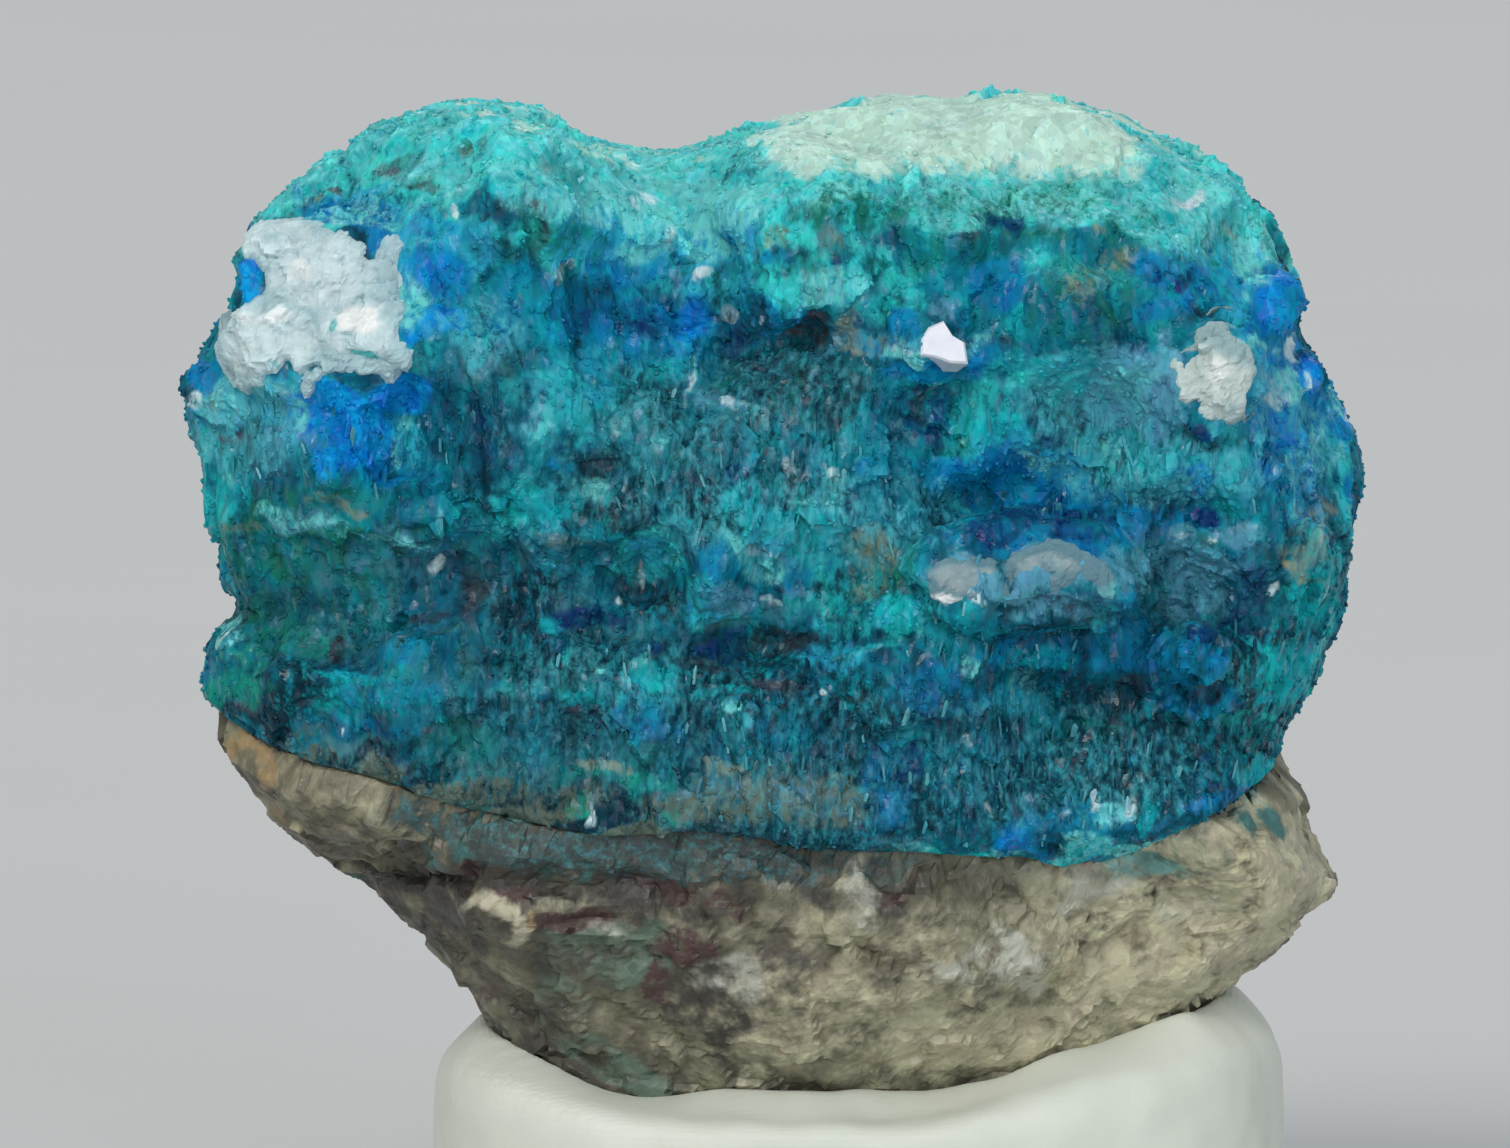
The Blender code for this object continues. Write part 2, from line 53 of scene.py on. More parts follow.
painting = {  # all in mm
    "rim": (0.6, 1.3),  # a spot fades between these shares of its size
    "front": (0.3, 2.2),  # colours fade between these depths y
    "crest": (16.5, 19.5),  # over the crest, between these heights, they reach further back
    "crestReach": 2.0,
    "reliefFront": (-1.0, 1.0),
    "sides": (-1.5, 0.3),  # round the sides the places stray, or spots there would be stripes
    "sideStray": (0.9, 1.8),
    "reliefStray": (0.9, 0.25),
}


def say(stage):
    print("stage:", stage, flush=True)


def toLinear(hexColour):
    # sRGB hex to the linear colour that shaders and lights want
    parts = [int(hexColour[i:i + 2], 16) / 255 for i in (1, 3, 5)]
    return [c / 12.92 if c <= 0.04045 else ((c + 0.055) / 1.055) ** 2.4 for c in parts] + [1.0]


# Meshes

def makeObject(name, data):
    obj = bpy.data.objects.new(name, data)
    bpy.context.scene.collection.objects.link(obj)
    return obj


def settle(obj):
    # live modifiers become the plain mesh
    graph = bpy.context.evaluated_depsgraph_get()
    mesh = bpy.data.meshes.new_from_object(obj.evaluated_get(graph))
    obj.modifiers.clear()
    old = obj.data
    obj.data = mesh
    bpy.data.meshes.remove(old)
    return obj


def mergedCopy(nodeName, name):
    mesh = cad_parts[nodeName].data.copy()
    work = bmesh.new()
    work.from_mesh(mesh)
    bmesh.ops.remove_doubles(work, verts=work.verts, dist=1e-7)
    work.to_mesh(mesh)
    work.free()
    mesh.materials.clear()
    for layer in list(mesh.uv_layers):
        mesh.uv_layers.remove(layer)
    return makeObject(name, mesh)


def readVectors(items, key):
    flat = np.empty(len(items) * 3, np.float32)
    items.foreach_get(key, flat)
    return flat.reshape(-1, 3).astype(float)


def readPoints(mesh):
    return readVectors(mesh.vertices, "co") / mm


def readNormals(mesh):
    return readVectors(mesh.vertex_normals, "vector")


def writePoints(mesh, points):
    mesh.vertices.foreach_set("co", (points * mm).astype(np.float32).ravel())
    mesh.update()


def evenOut(mesh, values, rounds):
    # each round moves every value halfway to the mean of its neighbours
    ends = np.empty(len(mesh.edges) * 2, np.int64)
    mesh.edges.foreach_get("vertices", ends)
    a, b = ends.reshape(-1, 2).T
    size = len(mesh.vertices)
    count = (np.bincount(a, minlength=size) + np.bincount(b, minlength=size)).clip(1)[:, None]
    for _ in range(rounds):
        total = np.stack([np.bincount(a, values[b, k], size) + np.bincount(b, values[a, k], size)
                          for k in range(values.shape[1])], 1)
        values = values * 0.5 + total / count * 0.5
    return values


def swell(obj, amount):
    # moves the points outwards by one amount in mm, or each by its own
    writePoints(obj.data, readPoints(obj.data) + readNormals(obj.data) * amount)
    return obj


def fineCopy(nodeName, name, voxel, rounds, grown=0.0, fillWith=(), fillGrown=0.0):
    # a merged copy with small even faces, its flat facets eased; fillWith closes the pockets of other nodes
    obj = swell(mergedCopy(nodeName, name), grown)
    if fillWith:
        work = bmesh.new()
        work.from_mesh(obj.data)
        for other in fillWith:
            plug = swell(mergedCopy(other, "plug"), fillGrown)
            work.from_mesh(plug.data)
            bpy.data.objects.remove(plug)
        work.to_mesh(obj.data)
        work.free()
    remesh = obj.modifiers.new("evenFaces", "REMESH")
    remesh.mode = "VOXEL"
    remesh.voxel_size = voxel * mm
    settle(obj)
    writePoints(obj.data, evenOut(obj.data, readPoints(obj.data), rounds))
    return obj


def objectFrom(work, name):
    mesh = bpy.data.meshes.new(name)
    work.to_mesh(mesh)
    work.free()
    return makeObject(name, mesh)


def skinRings(work, rings):
    # walls between a stack of rings, and both ends closed
    count = len(rings[0])
    for low, high in zip(rings, rings[1:]):
        for k in range(count):
            work.faces.new((low[k], low[(k + 1) % count], high[(k + 1) % count], high[k]))
    work.faces.new(rings[0][::-1])
    work.faces.new(rings[-1])


def smoothStep(value, low, high):
    t = np.clip((value - low) / (high - low), 0, 1)
    return t * t * (3 - 2 * t)


def wander(points, size, amount):
    # a gentle random shift of places, so that a spot's rim isn't an ellipse
    shifts = [noise.noise_vector(Vector(p) / size) for p in points]
    return points + np.array(shifts) * amount


def seenAt(places):
    # across and up, in mm, as the camera sees the places
    return places[:, 0], places[:, 2] + sightRise * places[:, 1]


def reachOf(seen, spot):
    # how far out each seen place is, 0 in the spot's middle and 1 at its rim, and the spot's amount
    x, z, halfWidth, halfHeight, amount = (number / 100 for number in spot[:5])
    turn = math.radians(spot[5]) if len(spot) > 5 else 0.0
    c = math.cos(turn)
    s = math.sin(turn)
    dx = seen[0] - x
    dz = seen[1] - z
    return np.hypot((dx * c + dz * s) / halfWidth, (dz * c - dx * s) / halfHeight), amount


def spotField(places, spots):
    # coverage of given spots on the side that faces -Y
    seen = seenAt(places)
    cover = np.zeros(len(places))
    for spot in spots:
        reach, amount = reachOf(seen, spot)
        cover = np.maximum(cover, amount * (1 - smoothStep(reach, *painting["rim"])))
    crest = painting["crestReach"] * smoothStep(places[:, 2], *painting["crest"])
    return cover * (1 - smoothStep(places[:, 1] - crest, *painting["front"]))


def reliefField(places, forms):
    # the same, but heights add up and may be hollows
    seen = seenAt(places)
    height = np.zeros(len(places))
    for form in forms:
        reach, rise = reachOf(seen, form)
        height += rise * np.exp(-reach ** 3)
    return height * (1 - smoothStep(places[:, 1], *painting["reliefFront"]))


def raiseRelief(obj, forms):
    places = wander(readPoints(obj.data), *painting["reliefStray"])
    swell(obj, reliefField(places, forms)[:, None])


def outlineDepth(places, outline):
    # how far inside a drawn outline each point is seen, negative outside
    across, up = seenAt(places)
    nearest = np.full(len(places), 1e9)
    inside = np.zeros(len(places), bool)
    corners = [(x / 100, z / 100) for x, z in outline]
    for (x0, z0), (x1, z1) in zip(corners, corners[1:] + corners[:1]):
        dx = x1 - x0
        dz = z1 - z0
        t = np.clip(((across - x0) * dx + (up - z0) * dz) / (dx * dx + dz * dz), 0, 1)
        nearest = np.minimum(nearest, np.hypot(across - x0 - t * dx, up - z0 - t * dz))
        inside ^= ((z0 > up) != (z1 > up)) & (across < x0 + (up - z0) / (dz or 1e-9) * dx)
    return np.where(inside, nearest, -nearest)


def storeMask(obj, name, values):
    masks = obj.data.attributes
    mask = masks.get(name) or masks.new(name, "FLOAT", "POINT")
    mask.data.foreach_set("value", np.asarray(values, np.float32))


def readMask(obj, name):
    values = np.empty(len(obj.data.vertices), np.float32)
    obj.data.attributes[name].data.foreach_get("value", values)
    return values.astype(float)


def paintSpots(obj, spots, size, amount):
    points = readPoints(obj.data)
    sides = smoothStep(points[:, 1], *painting["sides"])[:, None]
    astray = (wander(points, *painting["sideStray"]) - points) * sides
    places = wander(points, size, amount) + astray
    for name, marks in spots.items():
        storeMask(obj, name, spotField(places, marks))


def storeHollows(obj, rounds, depth):
    # +1 at the bottom of a hollow of this depth in mm, -1 on a crest; the mask for the painted shade in
    # hollows and the painted highlight on crests
    points = readPoints(obj.data)
    sunk = ((evenOut(obj.data, points, rounds) - points) * readNormals(obj.data)).sum(1)
    storeMask(obj, "hollow", np.clip(sunk / depth, -1, 1))


def holdBack(mesh, front=-6.0, share=0.4):
    # what stands further forward than the front, in mm, is pressed back to a share of its height
    points = readPoints(mesh)
    points[:, 1] = np.maximum(points[:, 1], front + (points[:, 1] - front) * share)
    writePoints(mesh, points)


def surfaceOf(obj):
    work = bmesh.new()
    work.from_mesh(obj.data)
    surface = BVHTree.FromBMesh(work)
    work.free()
    return surface


def nearestOn(surface, points, reach):
    # each point within reach of the surface, with the surface's nearest place, its normal and the gap, in mm
    for i, p in enumerate(points):
        spot, normal, _, gap = surface.find_nearest(Vector(p) * mm, reach * mm)
        if spot is not None:
            yield i, p, np.array(spot) / mm, np.array(normal), gap / mm


def meet(obj, surface, near, reach, bite):
    # the points that lie near the other surface are drawn onto it, a bite deep, so that the two touch
    points = readPoints(obj.data)
    depths = np.broadcast_to(bite, len(points))
    for i, p, spot, normal, gap in nearestOn(surface, points, reach):
        points[i] += (spot - normal * depths[i] - p) * (1 - smoothStep(gap, near, reach))
    writePoints(obj.data, points)


# Nodes

half = (0.5, 0.5, 0.5)


def setInputs(node, values):
    # a node stands for its first output; an output is linked, anything else is set on the socket
    for key, value in values.items():
        if isinstance(value, bpy.types.Node):
            value = value.outputs[0]
        if isinstance(value, bpy.types.NodeSocket):
            node.id_data.links.new(value, node.inputs[key])
        else:
            node.inputs[key].default_value = value


def addNode(tree, kind, values=None, **settings):
    # settings are the node's own properties
    node = tree.nodes.new(kind)
    for name, value in settings.items():
        setattr(node, name, value)
    setInputs(node, values or {})
    return node


def newTree(name, inputs):
    # inputs is {name: socket type}; a geometry goes in and comes out
    tree = bpy.data.node_groups.new(name, "GeometryNodeTree")
    for way in ("OUTPUT", "INPUT"):
        tree.interface.new_socket("Geometry", in_out=way, socket_type="NodeSocketGeometry")
    for label, kind in inputs.items():
        tree.interface.new_socket(label, in_out="INPUT", socket_type="NodeSocket" + kind)
    return tree, tree.nodes.new("NodeGroupInput")


def closeTree(tree, geometry, material):
    solid = addNode(tree, "GeometryNodeRealizeInstances", {"Geometry": geometry})
    dressed = addNode(tree, "GeometryNodeSetMaterial", {"Geometry": solid, "Material": material})
    addNode(tree, "NodeGroupOutput", {0: dressed})
    return tree


def growWith(obj, tree, values):
    # sets the inputs by identifier, then keeps the result as a plain mesh
    modifier = obj.modifiers.new(tree.name, "NODES")
    modifier.node_group = tree
    for item in tree.interface.items_tree:
        if item.in_out == "INPUT" and item.name in values:
            modifier[item.identifier] = values[item.name]
    return settle(obj)


flakeSizes = ("coarse", "middle", "fine")


def flakeTree(name):
    # Each size of flake is a Voronoi cell with its own tilt and step, so the skin is made of small
    # flat faces that meet at sharp little ledges. The point attribute "calm" quietens it.
    inputs = {"stretch": "Vector", "wobble": "Float", "seed": "Float", "material": "Material"}
    for size in flakeSizes:
        inputs.update({size + "Size": "Float", size + "Tilt": "Float", size + "Step": "Float"})
    tree, start = newTree(name, inputs)
    given = start.outputs
    position = addNode(tree, "GeometryNodeInputPosition")
    place = addNode(tree, "ShaderNodeVectorMath", {0: position, "Scale": 1 / mm}, operation="SCALE")
    swirl = addNode(tree, "ShaderNodeTexNoise", {"Vector": place, "Scale": 1.6, "Detail": 2.0})
    swirl = swirl.outputs["Color"]
    centred = addNode(tree, "ShaderNodeVectorMath", {0: swirl, 1: half}, operation="SUBTRACT")
    shift = addNode(tree, "ShaderNodeVectorMath", {0: centred, "Scale": given["wobble"]}, operation="SCALE")
    for step, value in (("ADD", shift), ("ADD", given["seed"]), ("MULTIPLY", given["stretch"])):
        place = addNode(tree, "ShaderNodeVectorMath", {0: place, 1: value}, operation=step)
    height = 0.0
    for size in flakeSizes:
        density = addNode(tree, "ShaderNodeMath", {0: 1.0, 1: given[size + "Size"]}, operation="DIVIDE")
        cell = addNode(tree, "ShaderNodeTexVoronoi", {"Vector": place, "Scale": density}).outputs
        offset = addNode(tree, "ShaderNodeVectorMath", {0: place, 1: cell["Position"]}, operation="SUBTRACT")
        lean = addNode(tree, "ShaderNodeVectorMath", {0: cell["Color"], 1: half}, operation="SUBTRACT")
        slope = addNode(tree, "ShaderNodeVectorMath", {0: lean, 1: offset}, operation="DOT_PRODUCT")
        tilted = addNode(tree, "ShaderNodeMath", {0: slope.outputs["Value"], 1: given[size + "Tilt"]},
                         operation="MULTIPLY")
        first = addNode(tree, "ShaderNodeSeparateXYZ", {0: lean})
        stepped = addNode(tree, "ShaderNodeMath", {0: first, 1: given[size + "Step"], 2: tilted},
                          operation="MULTIPLY_ADD")
        height = addNode(tree, "ShaderNodeMath", {0: height, 1: stepped}, operation="ADD")
    calm = addNode(tree, "GeometryNodeInputNamedAttribute", {"Name": "calm"}, data_type="FLOAT")
    lively = addNode(tree, "ShaderNodeMath", {0: 1.0, 1: calm}, operation="SUBTRACT")
    for factor in (lively, mm):
        height = addNode(tree, "ShaderNodeMath", {0: height, 1: factor}, operation="MULTIPLY")
    normal = addNode(tree, "GeometryNodeInputNormal")
    push = addNode(tree, "ShaderNodeVectorMath", {0: normal, "Scale": height}, operation="SCALE")
    skin = addNode(tree, "GeometryNodeSetPosition", {"Geometry": start, "Offset": push})
    return closeTree(tree, skin, given["material"])


flakeSkin = flakeTree("flakeSkin")


def growSkin(obj, skin, seed, material):
    # the skin's flakes are rows of size, tilt and step in mm, in the order of flakeSizes
    values = {"stretch": skin["stretch"], "wobble": skin["wobble"], "seed": seed, "material": material}
    for size, row in zip(flakeSizes, skin["flakes"]):
        values.update({size + word: value for word, value in zip(("Size", "Tilt", "Step"), row)})
    growWith(obj, flakeSkin, values)


def scatterTree(name):
    # small crystals over a surface: where and how thickly is the point attribute named by "zone"
    tree, start = newTree(name, {
        "crystal": "Object", "zone": "String", "perSquareMm": "Float", "seed": "Int",
        "smallest": "Vector", "largest": "Vector", "upright": "Float", "outward": "Float",
        "scatter": "Float", "material": "Material"})
    given = start.outputs
    seed = given["seed"]
    zone = addNode(tree, "GeometryNodeInputNamedAttribute", {"Name": given["zone"]}, data_type="FLOAT")
    density = given["perSquareMm"]
    for factor in (1 / mm ** 2, zone):
        density = addNode(tree, "ShaderNodeMath", {0: density, 1: factor}, operation="MULTIPLY")
    spread = addNode(tree, "GeometryNodeDistributePointsOnFaces",
                     {"Mesh": start, "Density": density, "Seed": seed}, distribute_method="RANDOM")
    aim = addNode(tree, "ShaderNodeVectorMath", {0: spread.outputs["Normal"], "Scale": given["outward"]},
                  operation="SCALE")
    upward = addNode(tree, "ShaderNodeCombineXYZ", {2: given["upright"]})
    chance = addNode(tree, "FunctionNodeRandomValue",
                     {0: (-1.0, -1.0, -1.0), 1: (1.0, 1.0, 1.0), "Seed": seed}, data_type="FLOAT_VECTOR")
    astray = addNode(tree, "ShaderNodeVectorMath", {0: chance, "Scale": given["scatter"]}, operation="SCALE")
    for pull in (upward, astray):
        aim = addNode(tree, "ShaderNodeVectorMath", {0: aim, 1: pull}, operation="ADD")
    along = addNode(tree, "FunctionNodeAlignRotationToVector", {"Vector": aim}, axis="Z")
    roll = addNode(tree, "FunctionNodeRandomValue", {2: 0.0, 3: math.tau, "Seed": seed}, data_type="FLOAT")
    spin = addNode(tree, "ShaderNodeCombineXYZ", {2: roll.outputs[1]})
    turned = addNode(tree, "FunctionNodeRotateRotation", {0: along, 1: spin}, rotation_space="LOCAL")
    size = addNode(tree, "FunctionNodeRandomValue", {0: given["smallest"], 1: given["largest"], "Seed": seed},
                   data_type="FLOAT_VECTOR")
    part = addNode(tree, "GeometryNodeObjectInfo", {"Object": given["crystal"]}, transform_space="ORIGINAL")
    placed = addNode(tree, "GeometryNodeInstanceOnPoints", {
        "Points": spread, "Instance": part.outputs["Geometry"], "Rotation": turned, "Scale": size})
    lot = addNode(tree, "FunctionNodeRandomValue", {2: 0.0, 3: 1.0, "Seed": 7}, data_type="FLOAT")
    marked = addNode(tree, "GeometryNodeStoreNamedAttribute", {
        "Geometry": placed, "Name": "lot", "Value": lot.outputs[1]}, domain="INSTANCE", data_type="FLOAT")
    return closeTree(tree, marked, given["material"])


# Finishes. Every stone material reads the point masks painted on its own mesh; a noise breaks each
# mask's rim into grains. All pattern sizes are in mm.

breakUp = {"detail": 3.0, "rough": 0.68, "spread": 3.6, "pull": 1.4}


def startMaterial(name):
    material = bpy.data.materials.new(name)
    material.use_nodes = True
    tree = material.node_tree
    place = addNode(tree, "ShaderNodeTexCoord").outputs["Object"]
    inMm = addNode(tree, "ShaderNodeVectorMath", {0: place, "Scale": 1 / mm}, operation="SCALE")
    return material, tree, tree.nodes["Principled BSDF"], inMm


def cloudColour(tree, place, size, detail, first, second):
    # two close tones that drift into each other
    cloud = addNode(tree, "ShaderNodeTexNoise", {"Vector": place, "Scale": 1 / size, "Detail": detail})
    return addNode(tree, "ShaderNodeMix", {0: cloud, 6: first, 7: second}, data_type="RGBA").outputs[2]


def setTones(ramp, tones):
    # tones is a list of (position, colour) from first to last
    stops = ramp.color_ramp.elements
    for stop, (position, tone) in zip(stops, (tones[0], tones[-1])):
        stop.position = position
        stop.color = toLinear(tone)
    for position, tone in tones[1:-1]:
        stops.new(position).color = toLinear(tone)


def groundColour(tree, place, ground):
    # broad soft patches under all the tints
    cloud = addNode(tree, "ShaderNodeTexNoise", {"Vector": place, "Scale": 1 / ground["size"],
                                                 "Detail": ground["detail"], "Roughness": ground["rough"]})
    ramp = addNode(tree, "ShaderNodeValToRGB", {0: cloud})
    setTones(ramp, ground["tones"])
    return ramp


def breakUps(tree, place, size, roughness=breakUp["rough"]):
    # three independent noises of one grain size, spread to about -1..1
    cloud = addNode(tree, "ShaderNodeTexNoise", {"Vector": place, "Scale": 1 / size, "Roughness": roughness,
                                                 "Detail": breakUp["detail"]})
    spread = addNode(tree, "ShaderNodeVectorMath", {0: cloud.outputs["Color"], 1: half}, operation="SUBTRACT")
    wide = addNode(tree, "ShaderNodeVectorMath", {0: spread, "Scale": breakUp["spread"]}, operation="SCALE")
    return list(addNode(tree, "ShaderNodeSeparateXYZ", {0: wide}).outputs)


def layTint(tree, under, tint, mask, rough, ragged, soft, share=1.0):
    # the noise breaks a share of the mask's cover up into grains, and where there is no cover no tint shows
    cover = addNode(tree, "ShaderNodeAttribute", attribute_name=mask).outputs["Fac"]
    broken = addNode(tree, "ShaderNodeMath", {0: rough, 1: ragged * breakUp["pull"] * share, 2: share},
                     operation="MULTIPLY_ADD")
    noisy = addNode(tree, "ShaderNodeMath", {0: broken, 1: cover}, operation="MULTIPLY")
    shows = addNode(tree, "ShaderNodeMapRange",
                    {"Value": noisy, "From Min": 0.5 - soft, "From Max": 0.5 + soft},
                    interpolation_type="SMOOTHSTEP")
    mix = addNode(tree, "ShaderNodeMix", {0: shows, 6: under, 7: toLinear(tint)}, data_type="RGBA")
    return mix.outputs[2]


def layTints(tree, colour, place, tints, rims):
    # each tint is a mask, a colour, how ragged its rim is and how soft; rims are the sizes of its grains
    noises = [rough for size in rims for rough in breakUps(tree, place, size)]
    for k, (mask, tint, ragged, soft) in enumerate(tints):
        colour = layTint(tree, colour, tint, mask, noises[k % len(noises)], ragged, soft)
    return colour


def shadeGrains(tree, colour, place, grains):
    # every grain differs a little in brightness and hue; grains is a list of (size, brightness, hue)
    for size, value, hue in grains:
        cell = addNode(tree, "ShaderNodeTexVoronoi", {"Vector": place, "Scale": 1 / size}).outputs["Color"]
        lot = addNode(tree, "ShaderNodeSeparateXYZ", {0: cell}).outputs
        tuned = {"Color": colour}
        for k, key, mean, span in ((0, "Value", 1.0, value), (1, "Hue", 0.5, hue)):
            tuned[key] = addNode(tree, "ShaderNodeMapRange", {"Value": lot[k], "To Min": mean - span,
                                                              "To Max": mean + span})
        colour = addNode(tree, "ShaderNodeHueSaturation", tuned)
    return colour, cell


def finishStone(tree, shader, colour, cell, look):
    # painted highlight and shade: crests are paler and hollows darker, and every grain has its own gloss
    hollow = addNode(tree, "ShaderNodeAttribute", attribute_name="hollow").outputs["Fac"]
    light = addNode(tree, "ShaderNodeMapRange", {"Value": hollow, "From Min": -0.6, "From Max": 1.0,
                                                 "To Min": look["crest"], "To Max": look["pitShade"]})
    shaded = addNode(tree, "ShaderNodeHueSaturation", {"Value": light, "Color": colour})
    first, last = look["roughness"]
    rough = addNode(tree, "ShaderNodeMapRange", {"Value": cell, "To Min": first, "To Max": last})
    setInputs(shader, {"Base Color": shaded, "Roughness": rough, "IOR": look["ior"]})


def roughen(tree, shader, place, ripple, cells=None):
    # relief too fine for the mesh, as a bump
    height = addNode(tree, "ShaderNodeTexNoise", {"Vector": place, "Scale": 1 / ripple["size"],
                                                  "Detail": ripple["detail"]})
    if cells:
        height = addNode(tree, "ShaderNodeMath", {0: cells, 1: height}, operation="ADD")
    bump = addNode(tree, "ShaderNodeBump", {"Strength": ripple["strength"], "Distance": ripple["depth"] * mm,
                                            "Height": height})
    setInputs(shader, {"Normal": bump})


# Camera, floor and light

view = {
    "middle": (-0.36, 0.0, 12.5),  # mm, the point in the middle of the frame
    "frameWidth": 27.94,  # mm at the plane y = 0
    "lens": 800.0,  # a long lens, so little perspective
    "sensor": 36.0,
    "clip": (0.01, 30.0),  # metres
}
studio = {  # softboxes in metres from the middle of the foot
    "floor": "#d3d4d4",
    "floorSize": 12.0,
    "floorMottle": {"size": 25.0, "detail": 3.0, "paler": 1.04, "roughness": 0.85},  # size in mm
    "world": "#eef2f5",
    "worldStrength": 0.5,
    "lights": {
        "key": {"place": (-0.9, -2.3, 1.7), "size": 1.2, "watts": 39.0, "colour": "#fffaf2"},
        "fill": {"place": (0.8, -2.4, 0.45), "size": 0.8, "watts": 13.0, "colour": "#eaf3ff"},
        "rim": {"place": (0.4, 2.0, 1.9), "size": 1.3, "watts": 11.0, "colour": "#f4f8ff"},
    },
}


def boardMaterial():
    # Matt painted board: a faint mottle keeps it from looking like plain fog.
    material, tree, shader, inMm = startMaterial("mattPaintedBoard")
    mottle = studio["floorMottle"]
    dark = toLinear(studio["floor"])
    pale = [c * mottle["paler"] for c in dark[:3]] + [1.0]
    colour = cloudColour(tree, inMm, mottle["size"], mottle["detail"], dark, pale)
    setInputs(shader, {"Base Color": colour, "Roughness": mottle["roughness"]})
    return material


def setUpStudio():
    scene = bpy.context.scene
    scene.view_settings.view_transform = "Standard"
    camera = bpy.data.cameras.new("camera")
    camera.sensor_width = view["sensor"]
    camera.lens = view["lens"]
    camera.clip_start, camera.clip_end = view["clip"]
    distance = view["lens"] * view["frameWidth"] / view["sensor"] * mm
    middle = Vector(view["middle"]) * mm
    cameraObject = makeObject("camera", camera)
    cameraObject.location = middle + towardsCamera * distance
    cameraObject.rotation_euler = towardsCamera.to_track_quat("Z", "Y").to_euler()
    scene.camera = cameraObject
    world = bpy.data.worlds.new("softRoom")
    world.use_nodes = True
    setInputs(world.node_tree.nodes["Background"], {"Color": toLinear(studio["world"]),
                                                    "Strength": studio["worldStrength"]})
    scene.world = world
    for name, lamp in studio["lights"].items():
        light = bpy.data.lights.new(name, "AREA")
        light.size = lamp["size"]
        light.energy = lamp["watts"]
        light.color = toLinear(lamp["colour"])[:3]
        lightObject = makeObject(name, light)
        lightObject.location = lamp["place"]
        lightObject.rotation_euler = (lightObject.location - middle).to_track_quat("Z", "Y").to_euler()
    edge = studio["floorSize"] / 2
    mesh = bpy.data.meshes.new("floor")
    corners = [(-edge, -edge, 0), (edge, -edge, 0), (edge, edge, 0), (-edge, edge, 0)]
    mesh.from_pydata(corners, [], [(0, 1, 2, 3)])
    mesh.materials.append(boardMaterial())
    makeObject("floor", mesh)


setUpStudio()
say("studio")


# The crust

crustFinish = {
    "ground": {"size": 0.8, "detail": 3.0, "rough": 0.62,
               "tones": [(0.34, "#06394b"), (0.46, "#055e77"), (0.56, "#087990"), (0.68, "#1595a3")]},
    "tints": [  # laid in this order
        # the turquoise zone tint also carries the painted highlight on the upward-facing top
        ("zoneTurquoise", "#34c9c8", 0.7, 0.34), ("zoneGreen", "#157165", 0.8, 0.34),
        # the dark zone tint is painted shade in hollows, recesses and under ledges
        ("zoneGrey", "#3d7880", 0.8, 0.34), ("zoneDark", "#073242", 0.7, 0.34),
        ("spotTurquoise", "#0fa6b0", 0.6, 0.34), ("spotSky", "#2ba3c2", 0.6, 0.34),
        ("spotBlue", "#057bae", 0.55, 0.34), ("spotVivid", "#0686cf", 0.45, 0.34),
        # the navy tint is partly painted shade in recesses
        ("spotNavy", "#073769", 0.6, 0.34), ("spotGreen", "#169486", 0.6, 0.34),
        ("spotSand", "#74887b", 0.7, 0.34), ("spotGrey", "#5094ae", 0.6, 0.34),
        ("spotBrown", "#2b2f38", 0.6, 0.34), ("spotMaroon", "#524a58", 0.6, 0.34),
        # the pale tint is partly a painted highlight
        ("spotOchre", "#8a8f78", 0.7, 0.34), ("spotPale", "#6cd0d0", 0.7, 0.34),
        ("zoneRim", "#57695f", 0.8, 0.34), ("spotMint", "#bbdfd1", 0.5, 0.34),
        # the white tint is partly painted glints
        ("spotWhite", "#c3dde2", 0.8, 0.34)],
    "rims": (0.4, 0.17),  # mm, grains that the tints' rims break into
    "grains": [(0.42, 0.12, 0.012), (0.13, 0.14, 0.012)],  # mm, then how far brightness and hue vary
    "haze": {"colour": "#4ab0c0", "speck": 0.16, "rough": 0.6, "ragged": 0.6, "soft": 0.3, "share": 0.74},
    "crest": 1.12, "pitShade": 0.74,  # brightness of the painted highlight on crests and of the painted shade in hollows
    "roughness": (0.75, 0.3), "ior": 1.52,  # the grains' roughness runs from the one to the other
    "gleam": (0.08, 0.7),  # specular level of dull and of glassy grains
    "ripple": {"size": 0.05, "detail": 3.0, "strength": 0.28, "depth": 0.02, "cells": 0.09},
}


def crustMaterial():
    # Papagoite and ajoite druse, grown and broken: sugary blue-green crystals, glassy on their small
    # faces, dull in between. Gives sparkle at grain size and soft patches of colour.
    look = crustFinish
    material, tree, shader, inMm = startMaterial("papagoiteDruseBroken")
    # crystals stand mostly upright, so every pattern is drawn out in height
    streaky = addNode(tree, "ShaderNodeVectorMath", {0: inMm, 1: (1.0, 1.0, 0.5)}, operation="MULTIPLY")
    colour = layTints(tree, groundColour(tree, streaky, look["ground"]), streaky, look["tints"], look["rims"])
    colour, cell = shadeGrains(tree, colour, streaky, look["grains"])
    haze = look["haze"]
    speck = breakUps(tree, streaky, haze["speck"], haze["rough"])[0]
    colour = layTint(tree, colour, haze["colour"], "hazy", speck, haze["ragged"], haze["soft"], haze["share"])
    finishStone(tree, shader, colour, cell, look)
    # only the few glassy faces gleam
    dull, glassy = look["gleam"]
    gleam = addNode(tree, "ShaderNodeMapRange",
                    {"Value": cell, "From Min": 0.6, "To Min": dull, "To Max": glassy})
    setInputs(shader, {"Specular IOR Level": gleam})
    fine = addNode(tree, "ShaderNodeTexVoronoi", {"Vector": inMm, "Scale": 1 / look["ripple"]["cells"]})
    roughen(tree, shader, streaky, look["ripple"], fine.outputs["Distance"])
    return material


